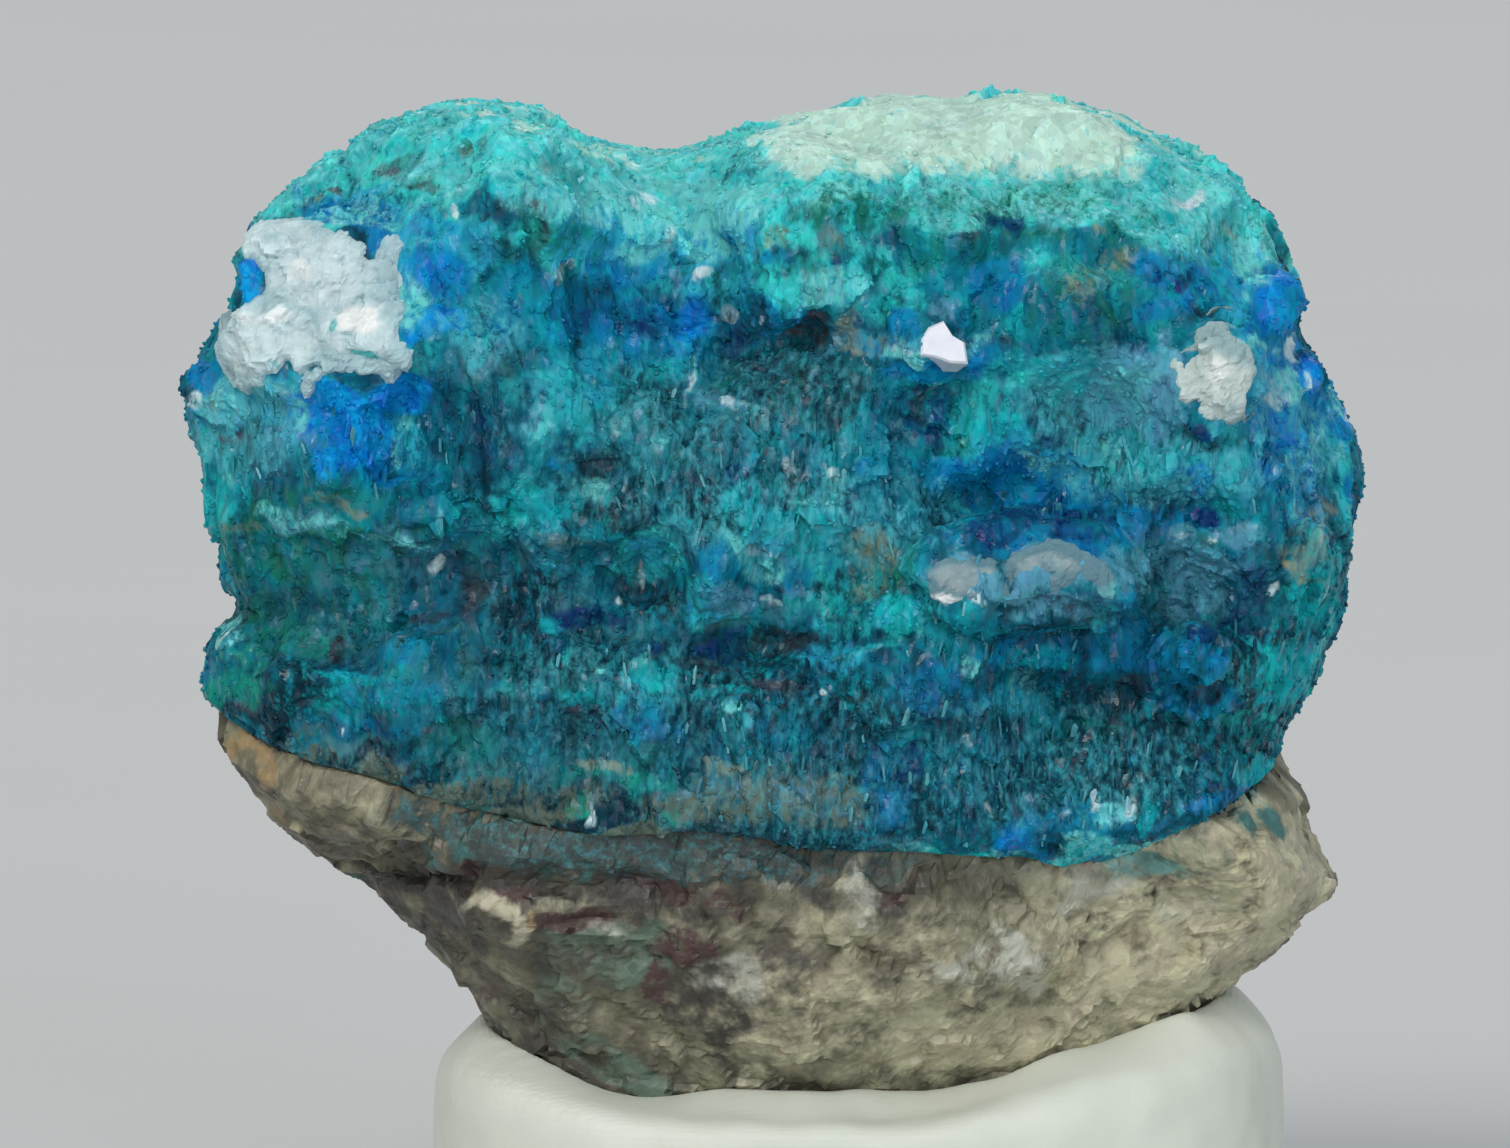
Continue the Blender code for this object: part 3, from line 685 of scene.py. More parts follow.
crust = {
    "voxel": 0.1,  # mm between points
    "ease": 5,
    "plugGrown": 0.22,  # mm added to the masses where they close their own pockets
    "spotStray": (0.8, 0.3),  # mm, the size and the amount of the shift that roughens the spots' rims
    "skin": {"stretch": (1.0, 1.0, 0.5), "wobble": 0.5,
             "flakes": [(1.1, 0.26, 0.09), (0.42, 0.24, 0.04), (0.22, 0.18, 0.016)]},
    "seed": 3.0,
    "hollows": (30, 0.16),  # rounds of evening out, and the depth in mm that counts as a whole hollow of the painted shade
    "paintedTopLight": {"facing": (0.2, 0.8), "heights": (17.0, 19.5),  # painted highlight: paler colour where the top faces up and catches the light
              "shares": {"zoneTurquoise": 0.75, "spotPale": 0.5}},
    "seam": {"reach": 0.5, "lean": 0.4, "slack": 0.1},  # mm across the gap to the quartz
    "massRim": (-0.2, 0.1),  # mm inside a mass's outline where the crust is bare and where it is covered
    "calm": {"spotMint": 0.6, "seamSide": 1.0, "underMass": 0.9},  # how much each mask quietens the skin
    "thinned": {"from": 0.9, "share": 0.7},  # where it is hidden, and what share of its faces stays there
    "relief": [
        (344, 1239, 63, 31, 22), (501, 1251, 85, 37, 26), (423, 1239, 9, 44, -30), (501, 1175, 111, 26, -30),
        (-822, 1299, 185, 22, -10, -4), (-655, 1276, 92, 22, -8, -10), (-877, 1230, 185, 41, 15, 4),
        (-563, 1202, 44, 63, 5), (-637, 1162, 59, 17, -10, 10), (270, 1545, 55, 55, 20),
        (-322, 1452, 48, 30, -20), (48, 1684, 67, 30, -20), (11, 1619, 111, 37, -10),
        (11, 1119, 85, 30, -20, 12), (-128, 1077, 48, 18, -15), (48, 1036, 74, 18, -12),
        (625, 1036, 55, 41, -15), (797, 1360, 52, 24, -15), (510, 1350, 185, 30, 20),
        (-82, 1434, 33, 37, -25), (-211, 1724, 222, 67, 30), (-433, 1878, 17, 74, -25),
        (751, 1101, 63, 55, 25), (751, 1017, 81, 13, -25), (810, 1036, 26, 22, -25), (-285, 1896, 74, 59, 25),
        (-73, 1915, 55, 41, 22), (-600, 1720, 63, 44, 20), (-100, 1249, 63, 55, 8), (214, 1175, 63, 44, 22),
        (344, 1443, 74, 48, 20), (-230, 990, 63, 44, 20), (-544, 1517, 26, 63, -15, 10),
        (-230, 1230, 63, 33, -15, 20), (-322, 1156, 92, 30, -30, -8), (843, 1156, 74, 30, -20, -20),
        (325, 1674, 92, 26, -10), (159, 1443, 55, 26, 12), (880, 1498, 26, 74, -20, 10),
        (658, 1424, 74, 30, 15, 10), (-396, 1313, 81, 22, 12, -10), (-82, 1739, 41, 22, -12, -40),
        (-674, 1101, 44, 30, 20), (-970, 1082, 74, 26, -10, 10), (-1018, 1785, 30, 63, -30),
        (-1022, 1199, 30, 63, 30),
    ],
    "spots": {
        # turquoise patches; buildCrust adds the painted highlight of the upward-facing top to this mask
        "zoneTurquoise": [
            (-221, 1933, 166, 92, 95), (140, 1804, 129, 74, 56), (-322, 1850, 111, 74, 50),
            (-563, 1850, 74, 74, 45), (-230, 1286, 92, 63, 45), (-115, 1193, 92, 48, 45),
            (-896, 1569, 111, 48, 50), (473, 1443, 111, 63, 50), (769, 1868, 92, 67, 50),
            (-692, 1665, 92, 74, 35), (-637, 1872, 92, 74, 50), (-119, 1828, 111, 67, 50),
            (-267, 1868, 92, 55, 40), (769, 1859, 111, 55, 50), (-406, 1994, 118, 74, 85),
            (-396, 1878, 100, 67, 60), (-110, 1878, 118, 74, 85), (48, 1776, 111, 55, 55),
            (196, 1754, 92, 44, 50), (-137, 1780, 74, 37, 50), (-637, 2035, 222, 92, 85),
            (-248, 1952, 240, 102, 95), (-63, 1915, 185, 92, 80), (751, 1943, 203, 111, 90, -20),
            (122, 1915, 166, 55, 46), (418, 1943, 222, 41, 36), (862, 1868, 74, 111, 80),
            (-341, 1896, 111, 111, 50), (-8, 1369, 203, 92, 42), (529, 1461, 296, 74, 42),
            (-1062, 1424, 111, 203, 35), (1028, 1129, 92, 481, 40), (880, 1017, 111, 111, 40),
            (-285, 1054, 240, 55, 42), (177, 1202, 185, 92, 42), (418, 1591, 166, 74, 42),
            (-341, 1572, 166, 111, 35), (-433, 1369, 166, 74, 38),
        ],
        "zoneGreen": [
            (177, 1924, 166, 44, 60), (418, 1933, 222, 44, 60), (566, 1943, 92, 44, 56),
            (177, 1850, 333, 63, 36), (455, 1896, 222, 55, 40), (695, 1868, 203, 92, 40),
            (-840, 1313, 240, 111, 50), (-877, 1165, 203, 74, 45), (-433, 1831, 92, 111, 40),
            (566, 1757, 111, 111, 42), (11, 1591, 203, 92, 40), (-322, 870, 222, 92, 42),
            (-600, 906, 240, 74, 35), (177, 1276, 111, 74, 40), (-211, 1461, 166, 74, 30),
            (621, 962, 166, 55, 35),
        ],
        "zoneGrey": [
            (-563, 1165, 444, 203, 36), (-544, 832, 425, 92, 50), (-544, 758, 444, 92, 85, 6),
            (-137, 721, 315, 74, 70), (-877, 870, 203, 48, 70, 20), (-396, 980, 407, 111, 30),
            (-951, 1498, 148, 92, 40), (11, 832, 222, 92, 55), (233, 1702, 148, 74, 30),
            (566, 1535, 166, 111, 36), (-544, 1628, 111, 55, 40), (-156, 1517, 203, 111, 34),
            (769, 1239, 203, 111, 40), (-63, 1184, 111, 55, 40), (510, 1202, 222, 55, 30),
        ],
        # painted shade: darker blue where shade falls in the hollows, in recesses and under ledges
        "zoneDark": [
            (436, 1317, 222, 26, 46), (-8, 1480, 55, 41, 40), (-1007, 1008, 55, 37, 50),
            (103, 1569, 81, 67, 66), (-8, 1572, 111, 55, 60), (-230, 1572, 81, 59, 60),
            (-100, 1388, 111, 81, 72), (-322, 1388, 92, 63, 66), (880, 1101, 74, 74, 66),
            (991, 1202, 37, 74, 50), (-230, 1202, 74, 55, 56), (103, 1202, 55, 48, 50),
            (-896, 1017, 100, 55, 70), (-996, 1006, 55, 41, 60), (-267, 1378, 111, 74, 60),
            (29, 1397, 92, 74, 50), (-452, 1193, 81, 81, 66), (-396, 1101, 166, 55, 56),
            (-8, 1563, 111, 55, 50), (-119, 1480, 92, 63, 45), (205, 1008, 81, 63, 70),
            (214, 823, 111, 74, 70), (658, 921, 129, 92, 75), (547, 916, 92, 74, 56), (325, 832, 111, 81, 66),
            (880, 1008, 81, 92, 56), (-896, 1101, 111, 55, 56), (-452, 1008, 111, 55, 50),
            (-230, 1101, 92, 48, 50), (769, 832, 111, 48, 50), (103, 814, 111, 44, 50),
            (-581, 1249, 166, 37, 42), (-840, 1175, 203, 63, 36), (-267, 1545, 92, 63, 40),
            (48, 1517, 111, 81, 36), (177, 1563, 74, 44, 30), (325, 1008, 111, 63, 43),
            (-415, 1202, 129, 74, 42), (177, 1221, 85, 55, 42), (-859, 1101, 129, 44, 50),
            (-137, 995, 407, 67, 60), (695, 934, 203, 129, 60), (769, 888, 166, 92, 54),
            (344, 832, 148, 92, 50), (-248, 906, 166, 63, 43), (917, 999, 74, 129, 50),
            (122, 971, 277, 111, 54), (48, 870, 240, 74, 48), (695, 851, 203, 74, 60),
            (-396, 1091, 111, 55, 48), (-507, 990, 129, 44, 48), (-285, 1101, 92, 44, 48),
            (-119, 1443, 92, 92, 30), (233, 777, 296, 55, 40), (-859, 1110, 129, 55, 36),
            (-174, 1054, 203, 92, 60), (103, 943, 203, 111, 60), (159, 786, 166, 55, 60),
            (677, 851, 203, 74, 54), (-859, 1082, 166, 63, 43), (29, 1452, 92, 81, 45),
            (-267, 1554, 92, 55, 36), (-961, 934, 92, 37, 60, 20), (159, 934, 888, 222, 42),
            (695, 1276, 333, 166, 30), (-285, 1350, 333, 148, 30), (-322, 1443, 129, 55, 42),
            (-544, 1480, 74, 148, 42), (-248, 1221, 222, 74, 36), (29, 1628, 148, 63, 50),
            (11, 1091, 166, 63, 62), (566, 1110, 203, 111, 43), (603, 1017, 166, 63, 48),
            (862, 1202, 148, 74, 42), (381, 943, 444, 55, 43), (288, 1535, 92, 74, 45),
            (-82, 1443, 74, 74, 45), (-396, 1147, 166, 63, 40), (-137, 749, 370, 63, 60),
            (-544, 777, 407, 81, 75, 8), (-822, 879, 222, 37, 60, 18), (-248, 740, 296, 55, 70),
            (-692, 870, 166, 30, 60, 10), (418, 1665, 111, 26, 40), (769, 1498, 111, 22, 50),
        ],
        "spotTurquoise": [
            (-563, 1698, 52, 78, 50), (-332, 1841, 74, 48, 85), (-670, 1776, 44, 74, 50),
            (-785, 1014, 74, 41, 50), (-996, 1915, 74, 22, 90, -50), (-970, 1933, 55, 22, 80, -30),
            (-618, 1822, 63, 63, 60), (-877, 1563, 67, 26, 70), (-877, 1526, 37, 55, 50),
            (-1003, 1785, 22, 55, 70), (-711, 1665, 55, 55, 40), (-415, 1998, 74, 48, 50),
            (177, 1757, 55, 37, 50), (769, 1776, 67, 48, 60), (473, 1443, 92, 37, 50),
            (1037, 1545, 30, 37, 80, -30), (902, 1646, 22, 30, 70), (473, 1101, 92, 30, 50),
            (-322, 1915, 102, 59, 95), (-276, 1868, 92, 48, 70), (-82, 1915, 67, 41, 90),
            (-156, 1859, 55, 41, 70), (-452, 1979, 70, 48, 80), (-378, 2007, 92, 41, 55),
            (-720, 2063, 63, 37, 70), (-618, 2105, 83, 26, 70), (-868, 1979, 63, 26, 75, 20),
            (-563, 2072, 55, 37, 60), (-26, 1970, 74, 33, 50), (159, 1972, 81, 17, 60),
            (695, 1998, 55, 37, 60), (815, 1961, 63, 63, 55), (736, 1902, 37, 37, 75),
            (862, 1813, 55, 30, 50), (852, 1735, 33, 22, 70), (440, 1724, 26, 37, 70),
            (529, 1624, 78, 33, 75), (575, 1595, 33, 26, 70), (418, 1517, 63, 41, 60),
            (334, 1535, 48, 48, 60), (538, 1443, 74, 30, 75), (658, 1480, 44, 41, 55),
            (769, 1461, 30, 18, 80), (834, 1443, 33, 41, 60), (936, 1415, 44, 37, 55), (29, 1350, 85, 30, 60),
            (-45, 1378, 41, 48, 60), (112, 1369, 37, 22, 50), (48, 1313, 85, 44, 50), (214, 1180, 59, 44, 85),
            (159, 1110, 92, 11, 60, 6), (103, 1202, 44, 30, 40), (-304, 1665, 26, 55, 50),
            (-202, 1624, 41, 37, 55), (-322, 1572, 111, 63, 40), (-433, 1369, 92, 41, 60),
            (-396, 1702, 55, 81, 45), (-411, 1154, 37, 22, 70), (-230, 1054, 63, 26, 65),
            (-359, 1017, 55, 26, 45), (-776, 1064, 81, 17, 60, -10), (-998, 1406, 52, 41, 55),
            (-1035, 1304, 26, 74, 50), (936, 1054, 70, 74, 70), (991, 1202, 37, 74, 60),
            (880, 1119, 74, 15, 55, -28), (895, 888, 48, 30, 85, 20), (344, 731, 67, 17, 80),
            (566, 736, 111, 17, 70, 4), (680, 805, 22, 44, 75), (815, 792, 74, 11, 70, 14),
            (-82, 1036, 92, 11, 45), (242, 953, 26, 30, 50), (48, 934, 30, 22, 40),
        ],
        "spotSky": [
            (889, 1757, 74, 48, 50), (-1007, 1569, 63, 52, 56), (-896, 1565, 63, 48, 56),
            (-781, 1572, 74, 52, 40), (214, 1665, 52, 44, 50), (889, 1595, 74, 107, 50),
            (995, 1517, 70, 129, 50), (436, 1439, 92, 70, 66), (991, 1388, 55, 52, 46),
            (-8, 1291, 74, 44, 45), (-900, 1572, 92, 41, 90), (214, 921, 74, 30, 50), (107, 1101, 67, 33, 50),
            (436, 1014, 74, 33, 45), (-563, 1854, 63, 55, 66), (-341, 1868, 92, 55, 76),
            (-110, 1868, 81, 74, 76), (880, 1828, 55, 55, 70), (-1007, 1582, 44, 48, 80),
            (-905, 1572, 92, 48, 80), (-674, 1480, 55, 48, 56), (889, 1661, 48, 41, 80),
            (214, 1665, 63, 37, 66), (-221, 1276, 63, 44, 50), (-115, 1193, 74, 37, 50),
            (440, 1471, 92, 48, 56), (-794, 1928, 111, 26, 70, 22), (-683, 1883, 81, 55, 70),
            (-637, 1822, 63, 81, 60), (-618, 1748, 55, 48, 50), (-341, 1878, 111, 55, 60),
            (-248, 1828, 92, 44, 60), (-137, 1850, 81, 67, 60), (-110, 1776, 74, 48, 50),
            (880, 1776, 74, 74, 70), (778, 1828, 67, 44, 50), (103, 1757, 81, 37, 50),
            (889, 1674, 44, 33, 70), (991, 1554, 44, 44, 70), (1010, 1480, 37, 63, 50),
            (-896, 1563, 81, 41, 70), (-877, 1498, 44, 55, 50), (196, 1674, 63, 37, 60),
            (325, 1674, 55, 33, 50), (436, 1424, 111, 48, 40), (547, 1388, 111, 37, 40),
            (-221, 1017, 55, 37, 40), (-285, 1036, 74, 44, 30), (-415, 980, 55, 30, 30),
        ],
        "spotBlue": [
            (455, 1424, 111, 63, 80), (547, 1388, 92, 37, 66), (658, 1106, 92, 55, 60),
            (769, 1017, 92, 41, 50), (1002, 1388, 33, 63, 60), (-1003, 1587, 33, 37, 50),
            (889, 1572, 48, 44, 50), (-877, 1572, 67, 26, 40), (936, 1711, 74, 48, 90),
            (936, 1517, 74, 63, 80), (788, 1776, 92, 48, 50), (473, 1424, 129, 48, 60),
            (473, 1110, 128, 41, 40), (-433, 1739, 111, 92, 50), (-26, 1720, 111, 44, 40),
            (510, 1313, 240, 41, 50), (714, 1350, 148, 37, 50), (936, 1443, 74, 55, 70),
            (-702, 1776, 48, 74, 81), (926, 1665, 55, 74, 77), (917, 1554, 74, 63, 72),
            (473, 1434, 111, 48, 72), (-711, 1439, 74, 48, 63), (233, 1674, 92, 26, 63),
            (325, 1643, 74, 41, 68), (-822, 1915, 63, 22, 77, -18), (-739, 1896, 63, 37, 85, -20),
            (-877, 1933, 44, 18, 63), (-637, 1795, 81, 52, 81), (-729, 1859, 22, 18, 81),
            (-618, 1868, 74, 37, 54), (-618, 1711, 92, 41, 81), (-665, 1693, 30, 22, 85),
            (-1053, 1624, 33, 33, 81), (-1072, 1535, 26, 26, 72), (-785, 1452, 63, 26, 77),
            (-692, 1424, 41, 30, 54), (-674, 1110, 51, 28, 48, 10), (-720, 1027, 85, 33, 36),
            (-637, 1036, 47, 33, 36), (-692, 962, 85, 28, 36), (-230, 977, 85, 45, 45), (11, 953, 64, 49, 39),
            (-396, 1461, 41, 18, 54), (-285, 1804, 92, 33, 54), (-82, 1868, 63, 26, 54),
            (11, 1822, 48, 22, 50), (-285, 1702, 74, 74, 54), (-322, 1628, 37, 74, 45),
            (-156, 1702, 74, 74, 54), (233, 1720, 41, 33, 85), (260, 1613, 85, 15, 77),
            (399, 1785, 63, 44, 59), (371, 1646, 63, 44, 68), (695, 1813, 63, 33, 59),
            (714, 1730, 81, 33, 63), (806, 1795, 63, 33, 63), (936, 1767, 63, 63, 85),
            (1028, 1572, 41, 26, 81, -30), (1065, 1443, 22, 74, 54), (954, 1535, 63, 63, 81),
            (344, 1434, 92, 55, 68), (418, 1388, 111, 26, 54), (769, 1424, 48, 37, 63),
            (658, 1332, 55, 37, 54), (-100, 1258, 70, 52, 45), (48, 1239, 30, 41, 54),
            (751, 1082, 81, 81, 42), (649, 1175, 30, 53, 48), (288, 1036, 98, 53, 45),
            (399, 1017, 85, 41, 30), (196, 851, 55, 94, 42), (344, 851, 64, 61, 30), (575, 795, 85, 57, 45),
            (825, 842, 94, 26, 51, 10), (455, 777, 72, 45, 48), (177, 1424, 55, 30, 45),
            (1093, 1332, 15, 92, 81),
        ],
        "spotVivid": [
            (926, 1724, 48, 33, 60), (945, 1498, 44, 37, 50), (-966, 1798, 26, 41, 100),
            (932, 1600, 55, 74, 50), (-859, 1560, 74, 30, 80), (-781, 1513, 92, 81, 100),
            (-692, 1572, 63, 41, 100), (-822, 1582, 44, 26, 90), (945, 1517, 41, 48, 95),
            (917, 1757, 37, 44, 90), (997, 1613, 28, 37, 100), (-600, 1720, 48, 33, 80),
            (-609, 1809, 41, 26, 60), (-665, 1684, 22, 18, 95), (-156, 1711, 48, 41, 70),
            (445, 768, 37, 26, 51), (769, 1434, 26, 22, 60), (344, 1443, 44, 33, 30),
            (-822, 1915, 26, 15, 50), (806, 842, 37, 15, 36, 10),
        ],
        # deep blue, partly painted shade under the troughs and in the recess above the lower masses
        "spotNavy": [
            (-156, 1748, 63, 26, 35), (-248, 1735, 166, 55, 44), (-248, 1720, 41, 26, 48),
            (-67, 1684, 48, 33, 50), (510, 1347, 185, 33, 50), (418, 1332, 92, 26, 56),
            (797, 1360, 52, 26, 64), (780, 1132, 22, 18, 80), (347, 1684, 28, 17, 80),
            (756, 1785, 30, 24, 64), (677, 1813, 26, 22, 48), (501, 1517, 41, 44, 56),
            (778, 1513, 44, 15, 64), (-341, 1165, 92, 33, 56), (-544, 1517, 33, 74, 42, 10),
            (-73, 1434, 30, 37, 68), (279, 1539, 52, 55, 48), (852, 1221, 63, 63, 48),
            (843, 1151, 44, 22, 48), (-100, 1119, 74, 22, 56, 18), (251, 906, 26, 48, 48),
            (630, 1165, 18, 37, 56), (390, 1896, 37, 22, 40), (436, 1891, 26, 26, 64),
            (122, 1828, 26, 18, 48), (-248, 1101, 55, 18, 40), (-729, 953, 41, 15, 48),
            (806, 888, 55, 22, 40),
        ],
        "spotGreen": [
            (325, 1943, 48, 26, 56), (418, 1970, 41, 17, 48), (566, 1952, 92, 18, 40),
            (640, 1868, 74, 37, 32), (908, 1841, 30, 26, 56), (-396, 1878, 74, 44, 48),
            (344, 1517, 30, 41, 48), (-341, 888, 74, 26, 40), (-248, 879, 63, 22, 56),
            (-369, 823, 37, 26, 64), (-184, 805, 26, 22, 64), (-544, 943, 74, 37, 32),
            (-998, 1036, 81, 33, 60), (-970, 1091, 74, 26, 48), (-877, 1129, 92, 30, 40),
            (-1035, 1036, 22, 37, 48), (834, 990, 48, 18, 40), (593, 971, 111, 11, 32),
            (-544, 810, 44, 11, 40), (-82, 1609, 30, 26, 32),
        ],
        "spotSand": [
            (177, 1674, 48, 33, 42), (-785, 884, 81, 17, 44, 16), (-637, 847, 92, 22, 48, 10),
            (-470, 799, 100, 26, 50, 8), (-285, 762, 111, 22, 48, 6), (-137, 740, 92, 18, 44),
            (144, 1691, 26, 48, 50), (621, 1822, 52, 22, 40, 20), (575, 1785, 37, 41, 40),
            (177, 1299, 55, 41, 56), (-26, 858, 148, 44, 46, -4), (-100, 897, 55, 22, 56),
            (-322, 903, 63, 15, 64, -6), (85, 851, 74, 26, 48), (991, 1350, 41, 41, 36),
            (973, 1276, 37, 44, 48), (-803, 1378, 74, 15, 48, -4), (-396, 1304, 92, 15, 32, -4),
            (159, 1239, 37, 26, 40), (11, 1868, 41, 41, 40), (103, 1868, 33, 55, 40, 20),
            (85, 1776, 55, 48, 32, 30), (-988, 1332, 41, 18, 40),
        ],
        "spotGrey": [
            (107, 1665, 48, 30, 36), (218, 747, 74, 22, 40), (695, 1600, 81, 63, 60),
            (-100, 851, 111, 37, 42, -4), (48, 832, 111, 37, 42), (510, 1180, 104, 26, 60),
            (-674, 1299, 74, 26, 40), (-877, 1350, 74, 22, 42, -4), (-702, 1317, 74, 22, 42, -6),
            (673, 1609, 78, 74, 90), (640, 1554, 74, 44, 60), (723, 1665, 30, 30, 70),
            (695, 1535, 74, 30, 60), (344, 1247, 67, 35, 100), (501, 1258, 92, 41, 100),
            (418, 1217, 92, 15, 90), (621, 1267, 48, 41, 55), (695, 1572, 85, 37, 70),
            (778, 1202, 81, 30, 60), (769, 1258, 111, 37, 60), (-63, 1202, 74, 30, 60),
            (747, 1317, 33, 30, 80), (852, 1323, 55, 22, 90), (547, 1600, 26, 15, 30),
            (917, 1591, 48, 37, 60), (630, 1674, 37, 18, 35), (-544, 1656, 55, 37, 45),
            (-896, 1498, 92, 37, 45), (-100, 1563, 41, 30, 60), (-248, 1554, 44, 37, 40),
            (316, 1739, 37, 22, 70), (233, 1665, 41, 22, 60), (-637, 832, 74, 18, 40),
        ],
        "spotBrown": [
            (-674, 1994, 63, 37, 50), (-600, 1961, 44, 26, 40), (-437, 1876, 18, 74, 50),
            (-591, 810, 37, 15, 40, 10), (-396, 762, 48, 15, 40, 8), (-248, 821, 30, 15, 33),
            (-507, 851, 26, 15, 30), (57, 1693, 55, 22, 56), (11, 1619, 111, 33, 40), (-45, 1711, 37, 37, 40),
            (-322, 1458, 44, 30, 49), (-267, 1360, 55, 48, 43), (-563, 1202, 30, 63, 49),
            (-637, 1162, 63, 17, 49, 12), (-794, 1119, 18, 17, 56), (-128, 1082, 55, 18, 56),
            (11, 1119, 85, 26, 49, 14), (11, 1045, 81, 18, 49, -4), (-248, 1239, 18, 63, 40),
            (-193, 1165, 26, 74, 33), (270, 1550, 22, 44, 40), (-433, 1868, 18, 81, 40),
            (-637, 1267, 129, 18, 36, 4), (621, 1032, 63, 30, 49), (677, 1091, 26, 63, 33),
            (799, 1032, 41, 17, 56, 20), (-82, 768, 92, 17, 40), (-211, 832, 22, 48, 40),
            (-156, 777, 111, 22, 33), (418, 1665, 48, 17, 40), (936, 990, 26, 22, 33),
            (862, 1036, 37, 26, 33, -30), (122, 1008, 55, 18, 33), (344, 1369, 15, 48, 33),
        ],
        "spotMaroon": [
            (-711, 1994, 18, 15, 60), (-637, 1965, 22, 13, 60), (-811, 1954, 17, 11, 70),
            (-641, 1970, 18, 11, 63), (-715, 1998, 22, 15, 49), (-443, 1931, 26, 18, 63),
            (-1007, 1510, 44, 13, 59), (16, 1678, 26, 11, 56), (75, 1702, 26, 17, 42),
            (-137, 1393, 13, 11, 70), (-2, 1471, 15, 9, 56), (-322, 1461, 26, 17, 35),
            (-970, 1008, 63, 17, 35, 24), (159, 1535, 18, 9, 35), (-8, 1054, 30, 15, 35),
            (-369, 990, 26, 11, 49), (584, 1730, 22, 18, 42), (-424, 1036, 22, 15, 35),
            (-628, 953, 26, 11, 42), (344, 1887, 18, 26, 35), (1047, 1323, 15, 41, 35),
            (-563, 1175, 18, 41, 35), (-803, 1119, 11, 11, 42),
        ],
        "spotOchre": [
            (149, 1654, 11, 15, 50), (843, 1876, 18, 9, 59), (902, 1872, 13, 11, 59), (599, 1880, 15, 13, 44),
            (640, 1828, 22, 13, 36), (958, 1262, 17, 13, 59), (1000, 1304, 22, 44, 40),
            (1019, 1369, 17, 22, 40), (788, 758, 9, 7, 53), (-563, 2026, 13, 11, 46), (-840, 1948, 15, 9, 59),
            (566, 1785, 15, 11, 36), (-1029, 1569, 15, 30, 63, 20), (-415, 2005, 15, 22, 40),
            (991, 1239, 18, 13, 46), (-1062, 980, 37, 11, 53, -30),
        ],
        # pale turquoise, partly a painted highlight: on the lit lip along the crust's lower edge, on the
        # upward-facing top, and where faces turned from the light were made paler
        "spotPale": [
            (-1007, 1569, 63, 44, 48), (-896, 1569, 63, 41, 50), (-670, 1757, 37, 74, 48),
            (218, 1665, 41, 33, 42), (995, 1489, 52, 104, 40), (658, 734, 81, 24, 55), (547, 738, 74, 17, 42),
            (-396, 1933, 111, 52, 50), (-100, 1933, 92, 59, 72), (880, 1850, 55, 67, 60),
            (103, 1767, 74, 52, 45), (-900, 1584, 74, 18, 50), (769, 1943, 74, 44, 80),
            (880, 1850, 44, 55, 80), (-341, 1950, 81, 30, 70), (-322, 1943, 111, 52, 66),
            (-208, 1928, 111, 63, 70), (-115, 1920, 67, 67, 66), (-226, 1857, 81, 33, 56),
            (-115, 1846, 55, 37, 56), (769, 1952, 81, 37, 60), (-933, 1358, 48, 13, 45, -4),
            (-837, 1347, 44, 11, 50, -4), (-752, 1325, 44, 11, 42, -8), (-665, 1313, 37, 11, 45, -6),
            (-396, 1961, 92, 30, 50), (871, 1841, 37, 63, 50, -20), (658, 736, 92, 17, 60, 4),
            (-1016, 1724, 26, 26, 70), (-1007, 1572, 37, 37, 50), (-396, 1983, 74, 30, 50),
            (325, 1674, 92, 37, 40), (778, 1872, 63, 37, 50), (889, 1669, 26, 18, 70),
            (950, 1609, 22, 41, 70), (976, 1580, 30, 15, 70), (238, 1645, 44, 17, 74),
            (654, 1600, 41, 41, 39), (-248, 2007, 166, 33, 58), (-396, 2044, 74, 30, 55),
            (-544, 2090, 111, 26, 47), (-748, 2087, 63, 18, 39, 20), (-137, 2007, 55, 30, 47),
            (-322, 1896, 26, 18, 62), (-193, 1887, 37, 48, 43), (778, 1989, 92, 30, 47, -14),
            (843, 1943, 48, 63, 39, -30), (658, 2072, 74, 44, 55, -30), (889, 1868, 33, 74, 31, -40),
            (-970, 1600, 63, 13, 62), (-859, 1526, 22, 22, 62, -30), (-692, 1471, 18, 22, 47),
            (-674, 1517, 17, 26, 39), (-1044, 1489, 18, 26, 47), (-877, 1343, 44, 13, 39, -6),
            (-794, 1328, 30, 11, 35, -6), (-692, 1313, 55, 11, 39, -10), (-618, 1350, 11, 33, 36),
            (-443, 1517, 26, 41, 39, -30), (-341, 1406, 48, 30, 47, -34), (-63, 1304, 48, 15, 62, -36),
            (-8, 1258, 37, 26, 47), (-156, 1619, 15, 33, 47), (-276, 1517, 18, 26, 39),
            (-221, 1498, 17, 15, 47), (-54, 1554, 22, 22, 47), (85, 1378, 55, 13, 55, -20),
            (473, 1452, 55, 18, 55, -20), (621, 1471, 26, 30, 47), (954, 1665, 37, 18, 47),
            (862, 1757, 11, 22, 47, 30), (621, 1415, 55, 13, 39, 20), (307, 1406, 18, 26, 31),
            (103, 1406, 22, 17, 47), (-248, 1082, 18, 15, 47), (-332, 1064, 17, 11, 55),
            (-73, 1008, 22, 17, 55), (621, 805, 33, 41, 62, -20), (556, 758, 41, 22, 47),
            (418, 740, 41, 17, 39), (251, 740, 55, 11, 39), (973, 1388, 26, 26, 39),
            (-1016, 1129, 63, 24, 58, 10), (-1007, 1424, 30, 18, 39, -30), (-248, 934, 48, 11, 31, -14),
            (362, 1091, 26, 22, 47), (159, 1101, 85, 7, 39, 6), (455, 1036, 26, 48, 31, -14),
            (140, 1859, 18, 26, 31, 20), (547, 1674, 15, 11, 31),
        ],
        "zoneRim": [
